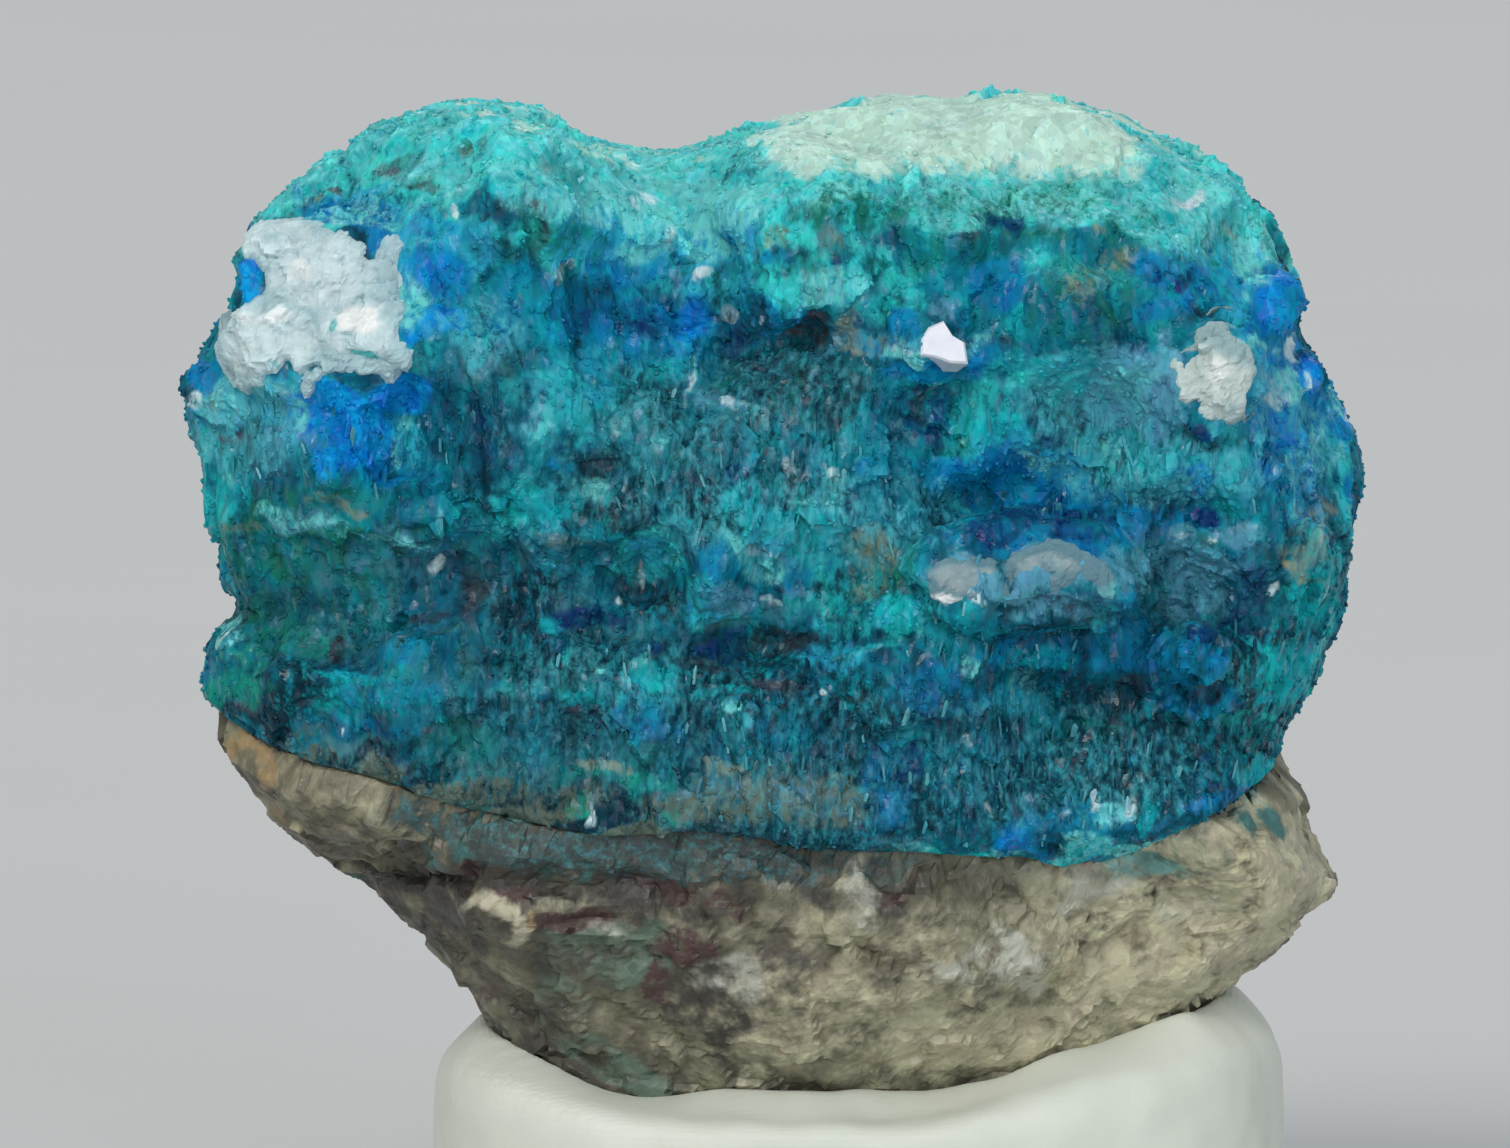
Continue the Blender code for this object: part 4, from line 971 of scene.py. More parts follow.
            (-877, 888, 81, 18, 60, 16), (-766, 862, 92, 26, 76, 16), (-637, 829, 92, 30, 80, 12),
            (-470, 788, 100, 33, 80, 8), (-285, 755, 118, 26, 76, 6), (-137, 736, 104, 22, 66),
            (-563, 832, 166, 33, 50, 10), (-396, 832, 111, 37, 46, 6), (-100, 829, 166, 44, 60, -2),
            (85, 818, 92, 44, 56), (233, 721, 92, 15, 40, 4), (-877, 934, 55, 26, 40, 20),
        ],
        "spotMint": [
            (48, 2042, 81, 52, 85), (-26, 2054, 26, 22, 60), (159, 2087, 129, 96, 100),
            (307, 2094, 155, 107, 100), (455, 2090, 155, 104, 100), (566, 2057, 104, 85, 95, -8),
            (640, 2007, 41, 37, 50), (714, 2044, 48, 17, 50, -30), (-433, 2087, 74, 22, 55, -20),
            (-544, 2113, 55, 15, 60), (-248, 2035, 148, 15, 50), (-1035, 1134, 37, 17, 80, 20),
            (-1051, 1117, 15, 15, 50),
        ],
        # white specks, some of them painted glints where the light catches small faces
        "spotWhite": [
            (763, 1943, 17, 18, 68), (-591, 1920, 9, 18, 61), (-548, 2116, 17, 11, 54),
            (-128, 1798, 22, 15, 61), (-87, 1733, 17, 13, 44, -40), (-605, 1680, 41, 15, 34, 20),
            (-391, 1817, 17, 17, 54), (-1066, 1576, 18, 26, 65, 20), (-896, 1576, 17, 9, 34),
            (-258, 1943, 30, 15, 48, -30), (-202, 1859, 15, 26, 41), (140, 1933, 18, 11, 34),
            (334, 1202, 44, 11, 68, -14), (921, 1217, 13, 13, 68), (802, 1304, 13, 11, 68),
            (747, 1304, 22, 15, 41), (862, 1332, 26, 13, 34), (-156, 1595, 11, 22, 54),
            (-73, 1558, 15, 18, 54), (-73, 1510, 9, 11, 54), (48, 1456, 30, 17, 48, -30),
            (103, 1421, 18, 15, 48), (1, 1202, 18, 11, 61, -30), (-26, 1295, 22, 9, 48, -34),
            (-285, 1202, 7, 15, 61), (-243, 1249, 7, 30, 48), (-618, 1267, 18, 15, 48),
            (-332, 1054, 15, 9, 54), (-800, 962, 7, 11, 68), (640, 823, 11, 30, 61, -14),
            (593, 832, 11, 22, 48, -14), (543, 814, 11, 18, 41), (806, 1054, 11, 15, 61),
            (828, 1077, 9, 11, 48), (1028, 1129, 13, 13, 48, -40), (913, 1443, 11, 11, 48),
            (741, 1933, 11, 26, 41), (1065, 1471, 11, 18, 41), (233, 1661, 26, 15, 48),
            (94, 1036, 11, 11, 54), (-341, 795, 11, 13, 54), (140, 1378, 11, 9, 48),
            (288, 1591, 7, 22, 34, -10), (969, 1661, 37, 15, 65, -10), (928, 1587, 26, 26, 61),
            (991, 1609, 15, 26, 48), (852, 1674, 22, 17, 41), (677, 1443, 9, 22, 34), (205, 694, 9, 11, 34),
            (418, 740, 7, 22, 34), (344, 934, 9, 26, 41, -20), (399, 814, 9, 17, 48, -20),
        ],
        "hazy": [
            (-137, 1517, 481, 222, 45), (-544, 1702, 111, 74, 60), (-970, 1517, 148, 111, 63),
            (566, 1572, 148, 111, 63), (233, 906, 703, 166, 42), (529, 870, 333, 111, 50),
            (-322, 1017, 370, 148, 42), (880, 1572, 111, 111, 60), (48, 1350, 370, 111, 54),
            (695, 1443, 259, 74, 63), (-600, 1979, 203, 92, 36), (-230, 1961, 259, 92, 30),
            (751, 1943, 166, 111, 36), (695, 1202, 222, 111, 39),
        ],
        "bladeZone": [
            (233, 906, 481, 166, 100), (584, 851, 315, 111, 100), (-248, 1017, 296, 111, 50),
            (-322, 832, 296, 74, 30), (11, 1388, 296, 129, 70), (658, 1443, 333, 92, 80),
            (-822, 1498, 222, 111, 50), (-396, 1517, 222, 111, 40), (362, 1129, 222, 111, 60),
            (862, 1017, 148, 111, 40),
        ],
    },
}

# The three feldspar masses, because the crust is closed over their pockets

# each mass's body colour is laid on its raised lumps (the fair spots) over its darker shade colour: partly
# painted light and shade, partly its own paler and darker tones
masses = {
    "left": {
        "node": "albite_mass_left", "name": "albiteMassLeft", "proud": 0.12,
        "body": "#cbe0e4", "shade": "#a5c4cb",
        "outline": [
            (-983, 1883), (-959, 1902), (-918, 1913), (-868, 1909), (-822, 1896), (-781, 1872), (-755, 1850),
            (-746, 1833), (-735, 1846), (-722, 1868), (-694, 1876), (-676, 1856), (-657, 1837), (-661, 1804),
            (-670, 1772), (-659, 1739), (-672, 1717), (-681, 1691), (-665, 1665), (-657, 1643), (-683, 1632),
            (-685, 1609), (-705, 1595), (-729, 1600), (-746, 1613), (-785, 1617), (-826, 1621), (-842, 1600),
            (-850, 1569), (-866, 1572), (-870, 1600), (-881, 1617), (-877, 1643), (-896, 1650), (-907, 1632),
            (-929, 1617), (-948, 1593), (-977, 1584), (-994, 1602), (-1016, 1622), (-1033, 1661),
            (-1024, 1691), (-1005, 1724), (-988, 1746), (-959, 1757), (-942, 1767), (-938, 1787),
            (-940, 1817), (-955, 1831), (-977, 1828), (-988, 1850),
        ],
        "relief": [
            (-822, 1804, 63, 48, 15, 10), (-914, 1850, 55, 41, 8), (-785, 1702, 55, 37, 16, -20),
            (-877, 1757, 111, 15, -6, 14), (-951, 1665, 81, 44, 12, 10), (-720, 1757, 30, 55, -4),
            (-877, 1684, 22, 37, -6), (-803, 1757, 74, 13, -6, -30), (-757, 1804, 11, 26, -5),
        ],
        "spots": {
            "fair": [
                (-840, 1813, 111, 74, 80), (-933, 1684, 92, 74, 80), (-766, 1702, 74, 55, 80),
                (-914, 1868, 92, 37, 70),
            ],
            "spotBright": [
                (-766, 1717, 44, 30, 80, -10), (-942, 1724, 63, 18, 50, 10), (-822, 1776, 37, 15, 40, 30),
                (-877, 1804, 26, 26, 50),
            ],
            "spotWarm": [

            ],
            "spotCyan": [
                (-752, 1650, 33, 7, 90), (-809, 1706, 9, 13, 60), (-905, 1624, 37, 15, 60, -30),
                (-720, 1868, 22, 11, 50), (-674, 1757, 15, 74, 40),
            ],
            "spotBlue": [
                (-966, 1798, 18, 30, 50),
            ],
        },
    },
    "right": {
        "node": "albite_mass_right", "name": "albiteMassRight", "proud": 0.1,
        "body": "#bfd0cd", "shade": "#8fadb0",
        "outline": [
            (758, 1680), (771, 1702), (793, 1719), (819, 1719), (839, 1702), (862, 1674), (878, 1652),
            (886, 1624), (880, 1595), (865, 1574), (869, 1543), (847, 1521), (821, 1530), (799, 1521),
            (778, 1541), (754, 1554), (736, 1574), (728, 1602), (714, 1626), (725, 1654), (743, 1669),
        ],
        "relief": [
            (825, 1624, 55, 44, 16), (769, 1563, 55, 18, -4), (732, 1646, 37, 22, -4),
        ],
        "spots": {
            "fair": [
                (797, 1600, 92, 74, 85),
            ],
            "spotBright": [
                (810, 1624, 41, 37, 50),
            ],
            "spotWarm": [
                (797, 1582, 44, 37, 30),
            ],
            "spotCyan": [
                (723, 1646, 22, 18, 40),
            ],
            "spotBlue": [
                (723, 1526, 22, 15, 50),
            ],
        },
    },
    "lower": {
        "node": "albite_mass_lower", "name": "albiteMassLower", "proud": 0.08,
        "body": "#8fa4a9", "shade": "#5a8391",
        "outline": [
            (273, 1243), (288, 1276), (334, 1291), (399, 1284), (419, 1269), (436, 1295), (492, 1315),
            (558, 1301), (606, 1273), (640, 1225), (625, 1199), (580, 1208), (525, 1197), (455, 1202),
            (421, 1195), (392, 1180), (355, 1195), (310, 1188), (288, 1210),
        ],
        "relief": [
            (344, 1243, 63, 31, 20), (501, 1254, 81, 41, 25), (423, 1247, 9, 48, -20),
            (529, 1221, 92, 11, -5, -20), (455, 1217, 48, 9, -5, -40),
        ],
        "spots": {
            "fair": [
                (344, 1243, 67, 30, 75), (492, 1262, 67, 26, 60),
            ],
            "spotBright": [
                (329, 1202, 48, 11, 90, -12), (371, 1195, 44, 9, 60), (492, 1221, 55, 9, 30, -8),
            ],
            "spotWarm": [

            ],
            "spotCyan": [
                (621, 1202, 44, 37, 50), (279, 1184, 37, 15, 50),
            ],
            "spotBlue": [
                (625, 1267, 18, 18, 50),
            ],
        },
    },
}


def seamSide(obj, other, reach, lean, slack):
    # 1 where this piece looks straight at the other one across the gap, so that nobody sees it
    normals = readNormals(obj.data)
    hidden = np.zeros((len(normals), 1))
    for i, p, spot, _, gap in nearestOn(other, readPoints(obj.data), reach):
        if (spot - p) @ normals[i] > lean * gap + slack:
            hidden[i] = 1.0
    return evenOut(obj.data, hidden, 2)[:, 0]


def buildCrust():
    obj = fineCopy("papagoite_crust", "papagoiteCrust", crust["voxel"], crust["ease"],
                   fillWith=[spec["node"] for spec in masses.values()], fillGrown=crust["plugGrown"])
    raiseRelief(obj, crust["relief"])
    holdBack(obj.data)
    paintSpots(obj, crust["spots"], *crust["spotStray"])
    # painted highlight: pale turquoise where the crown faces up into the light
    paintedTopLight = crust["paintedTopLight"]
    places = readPoints(obj.data)
    lit = smoothStep(readNormals(obj.data)[:, 2], *paintedTopLight["facing"])
    lit *= smoothStep(places[:, 2], *paintedTopLight["heights"])
    for mask, share in paintedTopLight["shares"].items():
        storeMask(obj, mask, np.maximum(readMask(obj, mask), share * lit))
    # the skin stays plain where nobody sees it, and is quieter in the mint patch
    storeMask(obj, "seamSide", seamSide(obj, surfaceOf(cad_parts["quartz_matrix"]), **crust["seam"]))
    covered = np.zeros(len(places))
    for spec in masses.values():
        inside = smoothStep(outlineDepth(places, spec["outline"]), *crust["massRim"])
        covered = np.maximum(covered, inside * (places[:, 1] < 0))
    storeMask(obj, "underMass", covered)
    quiet = np.max([readMask(obj, mask) * share for mask, share in crust["calm"].items()], 0)
    storeMask(obj, "calm", np.clip(quiet, 0, 1))
    smooth = surfaceOf(obj)
    growSkin(obj, crust["skin"], crust["seed"], crustMaterial())
    storeHollows(obj, *crust["hollows"])
    return obj, smooth


crustObject, smoothCrust = buildCrust()
say("crust")


# The quartz matrix

matrixFinish = {
    "ground": {"size": 1.3, "detail": 5.0, "rough": 0.6,
               "tones": [(0.34, "#423f37"), (0.5, "#65624f"), (0.68, "#918e78")]},
    "tints": [
        # the dark zone tint is partly painted shade
        ("zoneSand", "#b0ab8f", 0.6, 0.35), ("zoneDark", "#3d3a34", 0.6, 0.35),
        ("spotGreen", "#5b6f60", 0.8, 0.35), ("spotMaroon", "#4a3534", 0.9, 0.35),
        ("spotCream", "#b4af97", 0.4, 0.35), ("spotOrange", "#8f7b57", 0.7, 0.35),
        ("spotWhite", "#aeb0a3", 0.8, 0.35), ("spotTeal", "#3a706c", 0.8, 0.35),
        ("spotAqua", "#6d9f9a", 0.6, 0.35)],
    "rims": (0.6, 0.33),
    "grains": [(0.55, 0.13, 0.01), (0.2, 0.16, 0.012)],
    "seam": [  # specks of the crust below its rim: size in mm, share, tones
        (0.4, 0.8, ("#2f4d4f", "#33403e")), (0.2, 0.55, ("#3d7276", "#3f4a48"))],
    # crest and pit: brightness of the painted highlight on crests and of the painted shade in hollows
    "crest": 1.12, "pitShade": 0.72, "roughness": (0.35, 0.75), "ior": 1.544,
    "ripple": {"size": 0.09, "detail": 4.0, "strength": 0.5, "depth": 0.04},
}


def matrixMaterial():
    # Vein quartz, broken: greyish grains of 0.2 to 0.6 mm, waxy on the breaks, stained by iron.
    look = matrixFinish
    material, tree, shader, inMm = startMaterial("veinQuartzBroken")
    colour = layTints(tree, groundColour(tree, inMm, look["ground"]), inMm, look["tints"], look["rims"])
    for size, share, tones in look["seam"]:
        for tone, speck in zip(tones, breakUps(tree, inMm, size)):
            colour = layTint(tree, colour, tone, "seamTint", speck, 1.0, 0.2, share)
    colour, cell = shadeGrains(tree, colour, inMm, look["grains"])
    finishStone(tree, shader, colour, cell, look)
    roughen(tree, shader, inMm, look["ripple"])
    return material


matrix = {
    "voxel": 0.12,
    "ease": 6,
    "spotStray": (0.9, 0.4),
    "skin": {"stretch": (1.0, 1.0, 1.1), "wobble": 0.6,
             "flakes": [(1.3, 0.24, 0.05), (0.55, 0.2, 0.03), (0.3, 0.18, 0.015)]},
    "seed": 9.0,
    "hollows": (30, 0.16),
    "underCrust": 0.3,  # mm from the crust where its skin is left plain
    "easedSeam": {"rounds": 5, "share": 0.8},
    "meeting": (0.3, 0.6, 0.02),  # mm from the crust where it is drawn in fully, not at all, and how deep
    "seamZone": {"low": 0.1, "reach": 1.7, "lift": 0.12},  # mm below the crust's rim where specks thin out
    "relief": [
        (-692, 810, 148, 22, 20, 16), (-433, 740, 240, 33, 25, 6), (-137, 707, 185, 26, 20),
        (-948, 768, 55, 63, -35), (-711, 684, 166, 22, -30, 6), (-526, 620, 63, 26, 25, -38),
        (-433, 620, 48, 44, 12), (-563, 721, 41, 41, -20), (-359, 601, 81, 22, -20, 10),
        (-156, 546, 63, 74, -12), (-211, 684, 81, 41, -20), (-822, 832, 148, 74, 20, -30),
        (-655, 777, 74, 48, 12), (-100, 721, 166, 26, -20), (140, 647, 55, 92, 20), (418, 536, 111, 55, 12),
        (788, 647, 148, 74, 12, 10), (862, 758, 92, 55, -12, 20), (695, 703, 92, 15, -15, 16),
        (233, 703, 111, 18, -20), (-322, 462, 111, 92, 15), (-396, 388, 92, 30, -20, -40),
        (-26, 425, 111, 74, 15),
    ],
    "spots": {
        "seamWindow": [
            (-248, 740, 388, 129, 95), (-600, 805, 166, 111, 80, 20), (159, 721, 166, 92, 50),
            (566, 718, 370, 74, 30),
        ],
        "zoneSand": [
            (344, 425, 240, 63, 60), (695, 490, 240, 81, 85, -8), (566, 536, 203, 111, 60),
            (-822, 832, 222, 92, 34, -24), (-655, 795, 111, 74, 35), (788, 647, 315, 148, 80),
            (566, 610, 222, 111, 60), (325, 518, 277, 129, 50), (140, 592, 129, 129, 35),
            (48, 425, 259, 111, 60), (418, 388, 259, 74, 80), (880, 777, 111, 55, 70),
        ],
        # dark grey-brown, partly painted shade under the crust's lip and towards the lower left where the
        # face turns under
        "zoneDark": [
            (-230, 736, 129, 37, 50), (-563, 736, 129, 41, 85), (-230, 740, 148, 33, 80),
            (-785, 740, 92, 37, 50, 30), (-415, 647, 92, 63, 40), (-119, 444, 111, 81, 60),
            (-840, 777, 111, 37, 40, 30), (-45, 527, 111, 67, 60), (159, 662, 148, 41, 65),
            (-877, 740, 111, 55, 50, 40), (-711, 675, 166, 30, 90, 6), (-637, 592, 92, 74, 55),
            (-470, 712, 185, 81, 85), (-285, 684, 203, 67, 85), (-544, 647, 129, 81, 75),
            (-322, 573, 166, 74, 70), (-137, 647, 111, 55, 60), (-396, 351, 111, 55, 70, -24),
            (-563, 481, 74, 74, 50), (-396, 407, 129, 55, 60, -30), (-285, 536, 111, 74, 40),
            (-248, 333, 129, 44, 50, -20), (-137, 703, 148, 44, 50), (233, 684, 129, 30, 60),
            (418, 666, 148, 26, 35), (-692, 564, 74, 74, 50, -40),
        ],
        "spotAqua": [
            (869, 821, 55, 24, 45, -24), (658, 710, 81, 22, 70), (658, 718, 111, 15, 80, 4),
            (532, 725, 92, 11, 70, 2),
        ],
        "spotTeal": [
            (869, 810, 78, 37, 80, -24), (667, 723, 111, 11, 60, 4), (-544, 758, 129, 33, 50, 8),
            (-359, 729, 74, 44, 60, 4), (-174, 718, 111, 26, 50), (-692, 810, 74, 15, 45, 16),
            (159, 731, 74, 15, 50),
        ],
        "spotGreen": [
            (769, 725, 81, 41, 45), (214, 718, 92, 26, 60), (-285, 536, 166, 81, 60),
            (-285, 333, 129, 33, 70, -24), (-396, 462, 111, 55, 35), (-26, 351, 111, 37, 30),
            (640, 703, 111, 17, 50, 14), (122, 777, 74, 22, 40),
        ],
        "spotMaroon": [
            (-570, 725, 37, 44, 85), (-489, 666, 63, 22, 70, 20), (-369, 601, 74, 30, 85, 14),
            (-396, 721, 37, 30, 40), (-202, 684, 74, 48, 75, -20), (-156, 564, 44, 37, 85),
            (-208, 481, 37, 55, 70), (-82, 633, 63, 17, 60, -10), (196, 675, 81, 17, 70),
            (159, 666, 22, 26, 50), (-711, 805, 37, 26, 35), (732, 684, 44, 18, 50), (-544, 462, 37, 26, 40),
            (-692, 832, 44, 17, 30), (1, 536, 30, 22, 40),
        ],
        "spotCream": [
            (-406, 638, 37, 26, 45), (-519, 633, 44, 28, 95, -42), (-478, 588, 33, 24, 85, -42),
            (-563, 657, 18, 15, 80, -30), (-785, 832, 74, 30, 30, -20), (973, 721, 74, 92, 60),
            (880, 555, 111, 55, 50), (-26, 315, 30, 22, 60), (140, 684, 41, 26, 55), (-692, 851, 55, 22, 40),
            (-822, 888, 74, 11, 40),
        ],
        "spotOrange": [
            (-998, 934, 63, 17, 95, -52), (-961, 870, 48, 15, 70, -56), (-924, 934, 74, 15, 55, -10),
            (-448, 596, 17, 22, 80), (843, 725, 44, 11, 50, -10), (954, 718, 26, 11, 50),
            (778, 762, 11, 11, 70), (658, 583, 55, 37, 30), (556, 518, 44, 33, 35),
        ],
        "spotWhite": [
            (418, 536, 100, 48, 70), (325, 518, 55, 22, 50), (159, 647, 55, 74, 40), (-82, 518, 63, 48, 50),
            (751, 638, 74, 30, 35), (11, 684, 37, 22, 40), (492, 490, 55, 26, 50), (603, 666, 111, 26, 45, 8),
            (-729, 851, 33, 18, 50), (-322, 583, 74, 26, 35), (-655, 832, 63, 15, 30),
        ],
    },
}


def seamZone(obj, other, low, reach, lift):
    # 1 at the rim of the other piece, 0 at the reach and wherever the other piece covers this one
    normals = readNormals(obj.data)
    zone = np.zeros(len(normals))
    for i, p, spot, facing, gap in nearestOn(other, readPoints(obj.data), reach):
        if (p + normals[i] * lift - spot) @ facing > 0:
            zone[i] = 1 - smoothStep(gap, low, reach)
    return zone


def buildMatrix():
    obj = fineCopy("quartz_matrix", "quartzMatrix", matrix["voxel"], matrix["ease"])
    raiseRelief(obj, matrix["relief"])
    paintSpots(obj, matrix["spots"], *matrix["spotStray"])
    # under the crust it is never seen, and it has to stay clear of the crust's own skin
    near = np.zeros((len(obj.data.vertices), 1))
    plainCrust = surfaceOf(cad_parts["papagoite_crust"])
    for i, *_ in nearestOn(plainCrust, readPoints(obj.data), matrix["underCrust"]):
        near[i] = 1.0
    calm = evenOut(obj.data, near, 2)
    storeMask(obj, "calm", np.clip(calm[:, 0], 0, 1))
    smooth = surfaceOf(obj)
    growSkin(obj, matrix["skin"], matrix["seed"], matrixMaterial())
    storeHollows(obj, *matrix["hollows"])
    dressedCrust = surfaceOf(crustObject)
    meet(obj, dressedCrust, *matrix["meeting"])
    # the strip that was drawn up to the crust is eased, or it would be pleated
    drawn = readPoints(obj.data)
    eased = evenOut(obj.data, drawn, matrix["easedSeam"]["rounds"]) - drawn
    share = readMask(obj, "calm")[:, None] * matrix["easedSeam"]["share"]
    writePoints(obj.data, drawn + eased * share)
    rim = seamZone(obj, dressedCrust, **matrix["seamZone"])
    storeMask(obj, "seamTint", rim * readMask(obj, "seamWindow"))
    return obj, smooth


matrixObject, smoothStone = buildMatrix()
say("matrix")


# The masses on the crust

albiteFinish = {
    "tints": [("spotBright", "#f2f6f6", 0.35, 0.3), ("spotWarm", "#c9c5ae", 0.5, 0.3),
              ("spotCyan", "#4fb9ba", 0.3, 0.2), ("spotBlue", "#0d7fbd", 0.35, 0.15)],
    "rims": (0.5,),
    "grains": [(0.12, 0.07, 0.006)],
    # crest and pit: brightness of the painted highlight on crests and of the painted shade in hollows
    "crest": 1.06, "pitShade": 0.72, "roughness": (0.5, 0.8), "ior": 1.53,
    "ripple": {"size": 0.07, "detail": 4.0, "strength": 0.35, "depth": 0.03},
}
massBuild = {
    "voxel": 0.07, "ease": 6, "grown": 0.3,
    "rim": (-0.15, 0.08),  # mm inside the outline where the mass dips under the crust and where it is whole
    "dip": 0.3,
    "onCrust": (0.7, 1.1),  # mm from the crust where it follows it fully and not at all
    "rimStray": (0.3, 0.11), "reliefStray": (0.7, 0.12), "spotStray": (0.5, 0.15),
    "skin": {"stretch": (1.0, 1.0, 1.0), "wobble": 0.6,
             "flakes": [(0.8, 0.26, 0.07), (0.36, 0.25, 0.035), (0.19, 0.25, 0.02)]},
    "seedStep": 7.0,
    "hollows": (25, 0.12),
}


def albiteMaterial(name, body, shade):
    # Albite, fine-grained cleavage mass: chalky white, paler on its raised lumps and darker and faintly blue
    # in its folds, partly painted light and shade, with tiny stains.
    look = albiteFinish
    material, tree, shader, inMm = startMaterial(name)
    # body on the raised lumps over the darker shade colour: partly painted light and shade
    tints = [("fair", body, 0.5, 0.35)] + look["tints"]
    colour = layTints(tree, toLinear(shade), inMm, tints, look["rims"])
    colour, cell = shadeGrains(tree, colour, inMm, look["grains"])
    finishStone(tree, shader, colour, cell, look)
    roughen(tree, shader, inMm, look["ripple"])
    return material


def buildMass(spec, number):
    # inside its outline the mass stands a little proud of the crust, elsewhere it dips under it
    build = massBuild
    obj = fineCopy(spec["node"], spec["name"], build["voxel"], build["ease"], build["grown"])
    points = readPoints(obj.data)
    cover = smoothStep(outlineDepth(wander(points, *build["rimStray"]), spec["outline"]), *build["rim"])
    rise = spec["proud"] + reliefField(wander(points, *build["reliefStray"]), spec["relief"])
    meet(obj, smoothCrust, *build["onCrust"], (1 - cover) * build["dip"] - cover * rise)
    writePoints(obj.data, evenOut(obj.data, readPoints(obj.data), 2))
    paintSpots(obj, spec["spots"], *build["spotStray"])
    storeMask(obj, "calm", 1 - cover)
    material = albiteMaterial(spec["name"].replace("albiteMass", "albiteChalky"), spec["body"], spec["shade"])
    growSkin(obj, build["skin"], number * build["seedStep"], material)
    holdBack(obj.data)
    storeHollows(obj, *build["hollows"])
    return obj


massObjects = [buildMass(spec, k) for k, spec in enumerate(masses.values())]
say("feldspar masses")


# The putty

putty = {
    "voxel": 0.13, "ease": 12,
    "dents": 0.12, "dentSize": 2.2,  # mm
    "dentNoise": (0.8, 2.0, 3),  # roughness, lacunarity, octaves
    "meeting": (0.45, 1.1, -0.04),  # mm from the quartz, in the order of the matrix's
    "foot": (0.15, 0.8),  # mm, below these heights it has no dents and keeps its level
    "body": "#e2e6dc", "shade": "#cdd3c6", "smear": 2.4, "roughness": 0.52,
    "ripple": {"size": 0.35, "detail": 5.0, "strength": 0.2, "depth": 0.05},
}


def puttyMaterial():
    # Mounting putty, pressed by hand: smooth and satin, off-white with a green cast.
    material, tree, shader, inMm = startMaterial("mountingPuttyPressed")
    colour = cloudColour(tree, inMm, putty["smear"], 4.0, toLinear(putty["shade"]), toLinear(putty["body"]))
    setInputs(shader, {"Base Color": colour, "Roughness": putty["roughness"]})
    roughen(tree, shader, inMm, putty["ripple"])
    return material


def buildPutty():
    obj = fineCopy("mounting_putty", "mountingPutty", putty["voxel"], putty["ease"])
    points = readPoints(obj.data)
    dents = np.array([noise.fractal(Vector(p) / putty["dentSize"], *putty["dentNoise"]) for p in points])
    dents *= putty["dents"] * smoothStep(points[:, 2], *putty["foot"])
    points += readNormals(obj.data) * dents[:, None]
    points[:, 2] = np.maximum(points[:, 2], 0)
    writePoints(obj.data, points)
    obj.data.materials.append(puttyMaterial())
    meet(obj, smoothStone, *putty["meeting"])
    eased = evenOut(obj.data, readPoints(obj.data), 6)
    eased[:, 2] = np.where(points[:, 2] < putty["foot"][1], points[:, 2], eased[:, 2])
    writePoints(obj.data, eased)
    return obj


puttyObject = buildPutty()
say("putty")


# Small crystals

crystalShapes = {  # a prism with one slanted end: rings of height, radius and shift in mm before scaling
    "blade": {"sides": 4, "rings": [(-0.25, 0.42, 0), (0.7, 0.5, 0), (1.0, 0.16, 0.1)]},
    "grain": {"sides": 5, "rings": [(-0.25, 0.42, 0), (0.35, 0.5, 0), (0.6, 0.16, 0.15)]},
}
slant = 0.12
smallCrystals = {  # smallest and largest are mm across, through and along
    "ajoiteBlades": {"shape": "blade", "zone": "bladeZone", "perSquareMm": 2.2, "seed": 31,
                     "smallest": (0.06, 0.04, 0.12), "largest": (0.12, 0.07, 0.34),
                     "upright": 1.5, "outward": 0.4, "scatter": 0.5},
    "papagoiteBlades": {"shape": "blade", "zone": "bladeZone", "perSquareMm": 9.0, "seed": 11,
                        "smallest": (0.06, 0.04, 0.12), "largest": (0.13, 0.08, 0.32),
                        "upright": 1.5, "outward": 0.3, "scatter": 0.5},
    "papagoiteGrains": {"shape": "grain", "zone": "grainZone", "perSquareMm": 11.0, "seed": 5,
                        "smallest": (0.07, 0.07, 0.04), "largest": (0.16, 0.14, 0.11),
                        "upright": 0.8, "outward": 0.7, "scatter": 0.7},
}
ajoiteFinish = {
    "tones": [(0.0, "#0b5a70"), (1 / 3, "#147d94"), (2 / 3, "#2c93a3"), (1.0, "#63b4bd")],
    "cloud": 0.2, "light": (0.7, 1.15), "roughness": 0.45, "ior": 1.6,
}
grainCover = {"seamSide": (0.0, 0.3), "spotMint": 0.8}  # where grains stop, and how much they thin out


def ajoiteMaterial():
    # Ajoite, loose-standing needles: glassy, each its own tone, paler and darker in small clouds.
    look = ajoiteFinish
    material, tree, shader, inMm = startMaterial("ajoiteBladesGlassy")
    lot = addNode(tree, "ShaderNodeAttribute", attribute_name="lot").outputs["Fac"]
    ramp = addNode(tree, "ShaderNodeValToRGB", {0: lot})
    setTones(ramp, look["tones"])
    cloud = addNode(tree, "ShaderNodeTexNoise", {"Vector": inMm, "Scale": 1 / look["cloud"], "Detail": 3.0})
    dim, lit = look["light"]
    bright = addNode(tree, "ShaderNodeMapRange", {"Value": cloud, "From Min": 0.3, "From Max": 0.7,
                                                  "To Min": dim, "To Max": lit})
    colour = addNode(tree, "ShaderNodeHueSaturation", {"Value": bright, "Color": ramp})
    setInputs(shader, {"Base Color": colour, "Roughness": look["roughness"], "IOR": look["ior"]})
    return material


def crystalSeed(name, sides, rings):
    work = bmesh.new()
    angles = [math.tau * k / sides for k in range(sides)]
    skinRings(work, [[work.verts.new((math.cos(angle) * radius + shift, math.sin(angle) * radius,
                                      z + slant * shift * math.cos(angle))) for angle in angles]
                     for z, radius, shift in rings])
    bmesh.ops.scale(work, vec=(mm, mm, mm), verts=work.verts)
    return objectFrom(work, name)


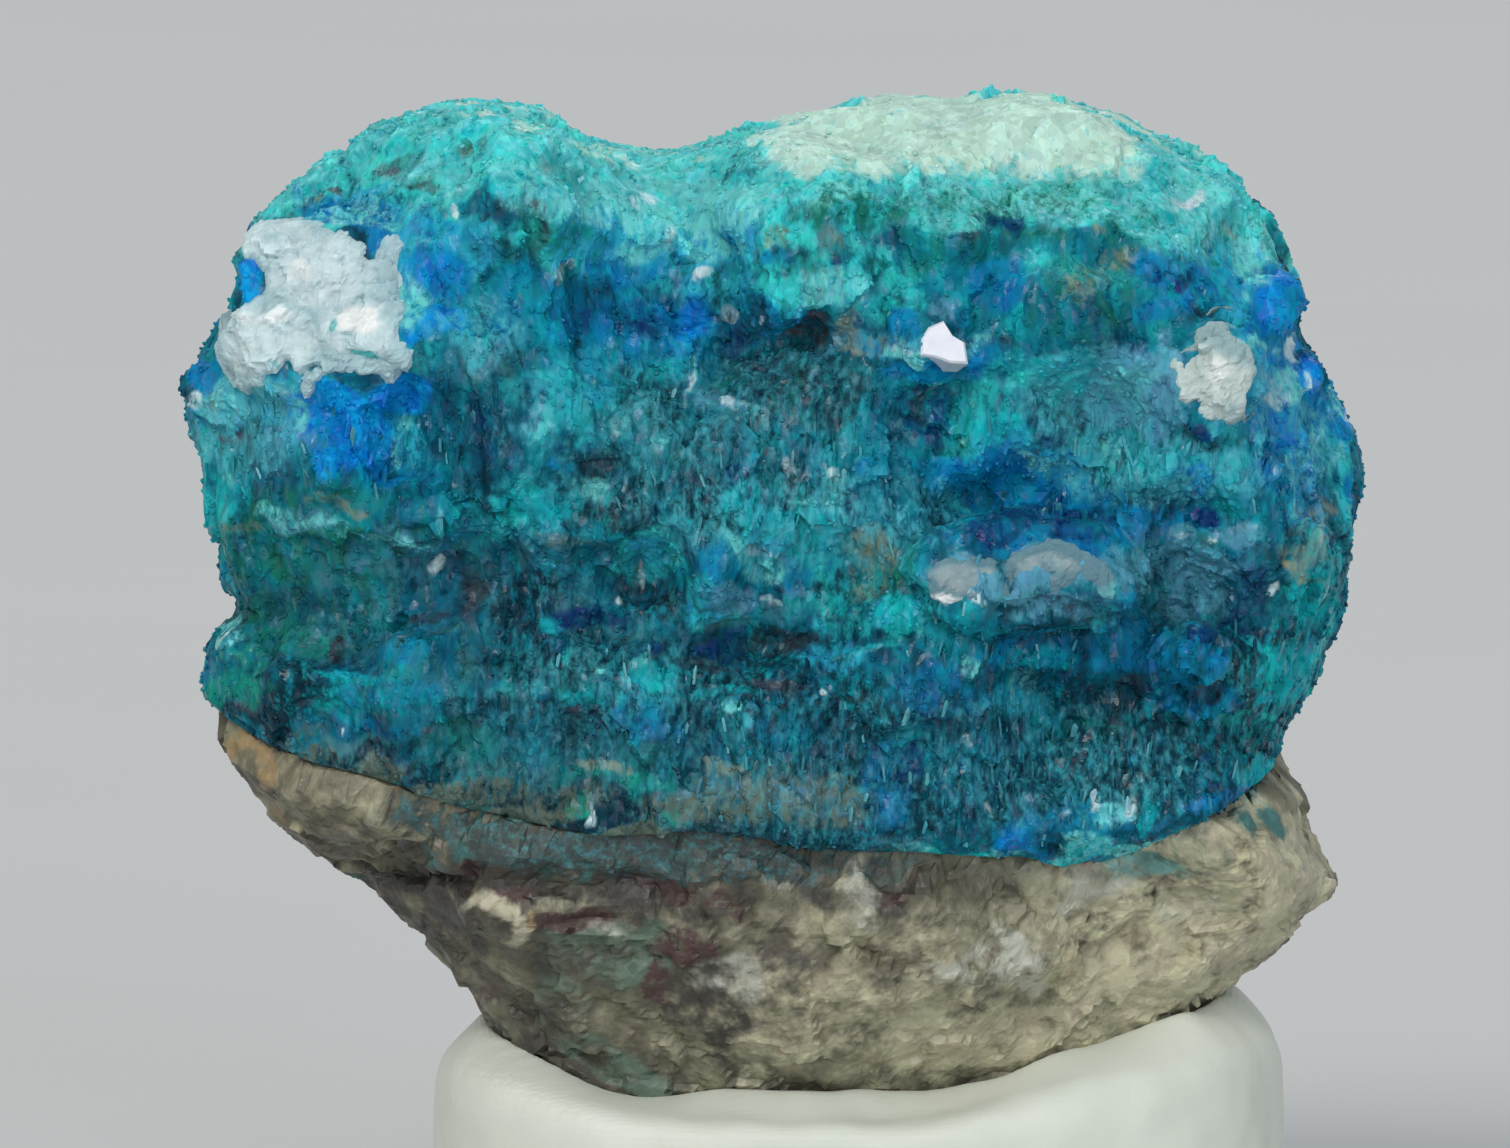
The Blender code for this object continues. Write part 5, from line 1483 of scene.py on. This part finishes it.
def growSmallCrystals():
    # grains keep off the hidden side and the masses, and thin out in the mint patch
    bare = 1 - smoothStep(readMask(crustObject, "seamSide"), *grainCover["seamSide"])
    bare *= 1 - readMask(crustObject, "underMass")
    bare *= 1 - grainCover["spotMint"] * readMask(crustObject, "spotMint")
    storeMask(crustObject, "grainZone", bare)
    seeds = {shape: crystalSeed(shape + "Seed", **sizes) for shape, sizes in crystalShapes.items()}
    tree = scatterTree("scatterCrystals")
    pieces = []
    for name, values in smallCrystals.items():
        material = ajoiteMaterial() if name == "ajoiteBlades" else crustObject.data.materials[0]
        inputs = {**values, "crystal": seeds[values["shape"]], "material": material}
        pieces.append(growWith(makeObject(name, crustObject.data.copy()), tree, inputs))
    for seed in seeds.values():
        bpy.data.objects.remove(seed)
    return pieces


paleObject, bladeObject, grainObject = growSmallCrystals()
say("small crystals")


# A clear crystal that stands bare on the crust

clear = {
    "outline": [
        (262, 1643), (264, 1674), (279, 1696), (307, 1708), (323, 1680), (345, 1666), (349, 1626),
        (316, 1628), (288, 1639),
    ],
    "facing": (0.12, -0.93, 0.3),
    "proud": 0.42,  # mm
    "cloud": 0.3,
    "rings": [(-0.95, 0.8), (-0.06, 1.0), (0.0, 0.9)],  # depth in mm and share of the outline
    # near-white tones, partly a painted glint on the face turned to the light
    "tones": ("#d5dcf4", "#ffffff"), "roughness": 0.12, "ior": 1.544,
}


def clearMaterial():
    # Quartz, a single clear crystal: a glassy flat face that mirrors the soft light, with a near-white colour
    # that is milky within and partly a painted glint.
    material, tree, shader, inMm = startMaterial("quartzCrystalClear")
    milkyGlint, bright = [toLinear(tone) for tone in clear["tones"]]
    colour = cloudColour(tree, inMm, clear["cloud"], 3.0, milkyGlint, bright)
    setInputs(shader, {"Base Color": colour, "Roughness": clear["roughness"], "IOR": clear["ior"]})
    return material


def buildClear():
    outline = [(x / 100, z / 100) for x, z in clear["outline"]]
    across = sum(x for x, _ in outline) / len(outline)
    up = sum(z for _, z in outline) / len(outline)
    start = Vector((across, 0, up)) * mm + towardsCamera * 30 * mm  # well in front of the stone
    spot = surfaceOf(crustObject).ray_cast(start, -towardsCamera)[0]
    facing = Vector(clear["facing"]).normalized()
    side = Vector((0, 0, 1)).cross(facing).normalized()
    rise = facing.cross(side)
    centre = spot + facing * clear["proud"] * mm
    work = bmesh.new()
    rings = []
    for depth, share in clear["rings"]:
        rings.append([work.verts.new(centre + side * (x - across) * share * mm + rise * (z - up) * share * mm
                                     + facing * depth * mm) for x, z in outline])
    skinRings(work, rings)
    bmesh.ops.recalc_face_normals(work, faces=work.faces)
    obj = objectFrom(work, "clearCrystals")
    obj.data.materials.append(clearMaterial())
    return obj


clearObject = buildClear()
say("clear crystal")


def thinHidden(obj, thinned):
    # fewer faces on the side that lies against the quartz
    group = obj.vertex_groups.new(name="hidden")
    hidden = np.nonzero(readMask(obj, "seamSide") > thinned["from"])[0]
    group.add([int(i) for i in hidden], 1.0, "REPLACE")
    thinner = obj.modifiers.new("thinner", "DECIMATE")
    thinner.vertex_group = group.name
    thinner.ratio = thinned["share"]
    settle(obj)
    obj.vertex_groups.clear()


thinHidden(crustObject, crust["thinned"])
say("hidden side")

for slotName, pieces in (("papagoite", [crustObject, bladeObject, paleObject, grainObject]),
                         ("quartz", [matrixObject, clearObject]),
                         ("putty", [puttyObject]), ("albite", massObjects)):
    for piece in pieces:
        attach(piece, "root")
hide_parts("papagoite_crust")
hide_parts("quartz_matrix")
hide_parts("mounting_putty")
for spec, piece in zip(masses.values(), massObjects):
    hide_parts(spec["node"])
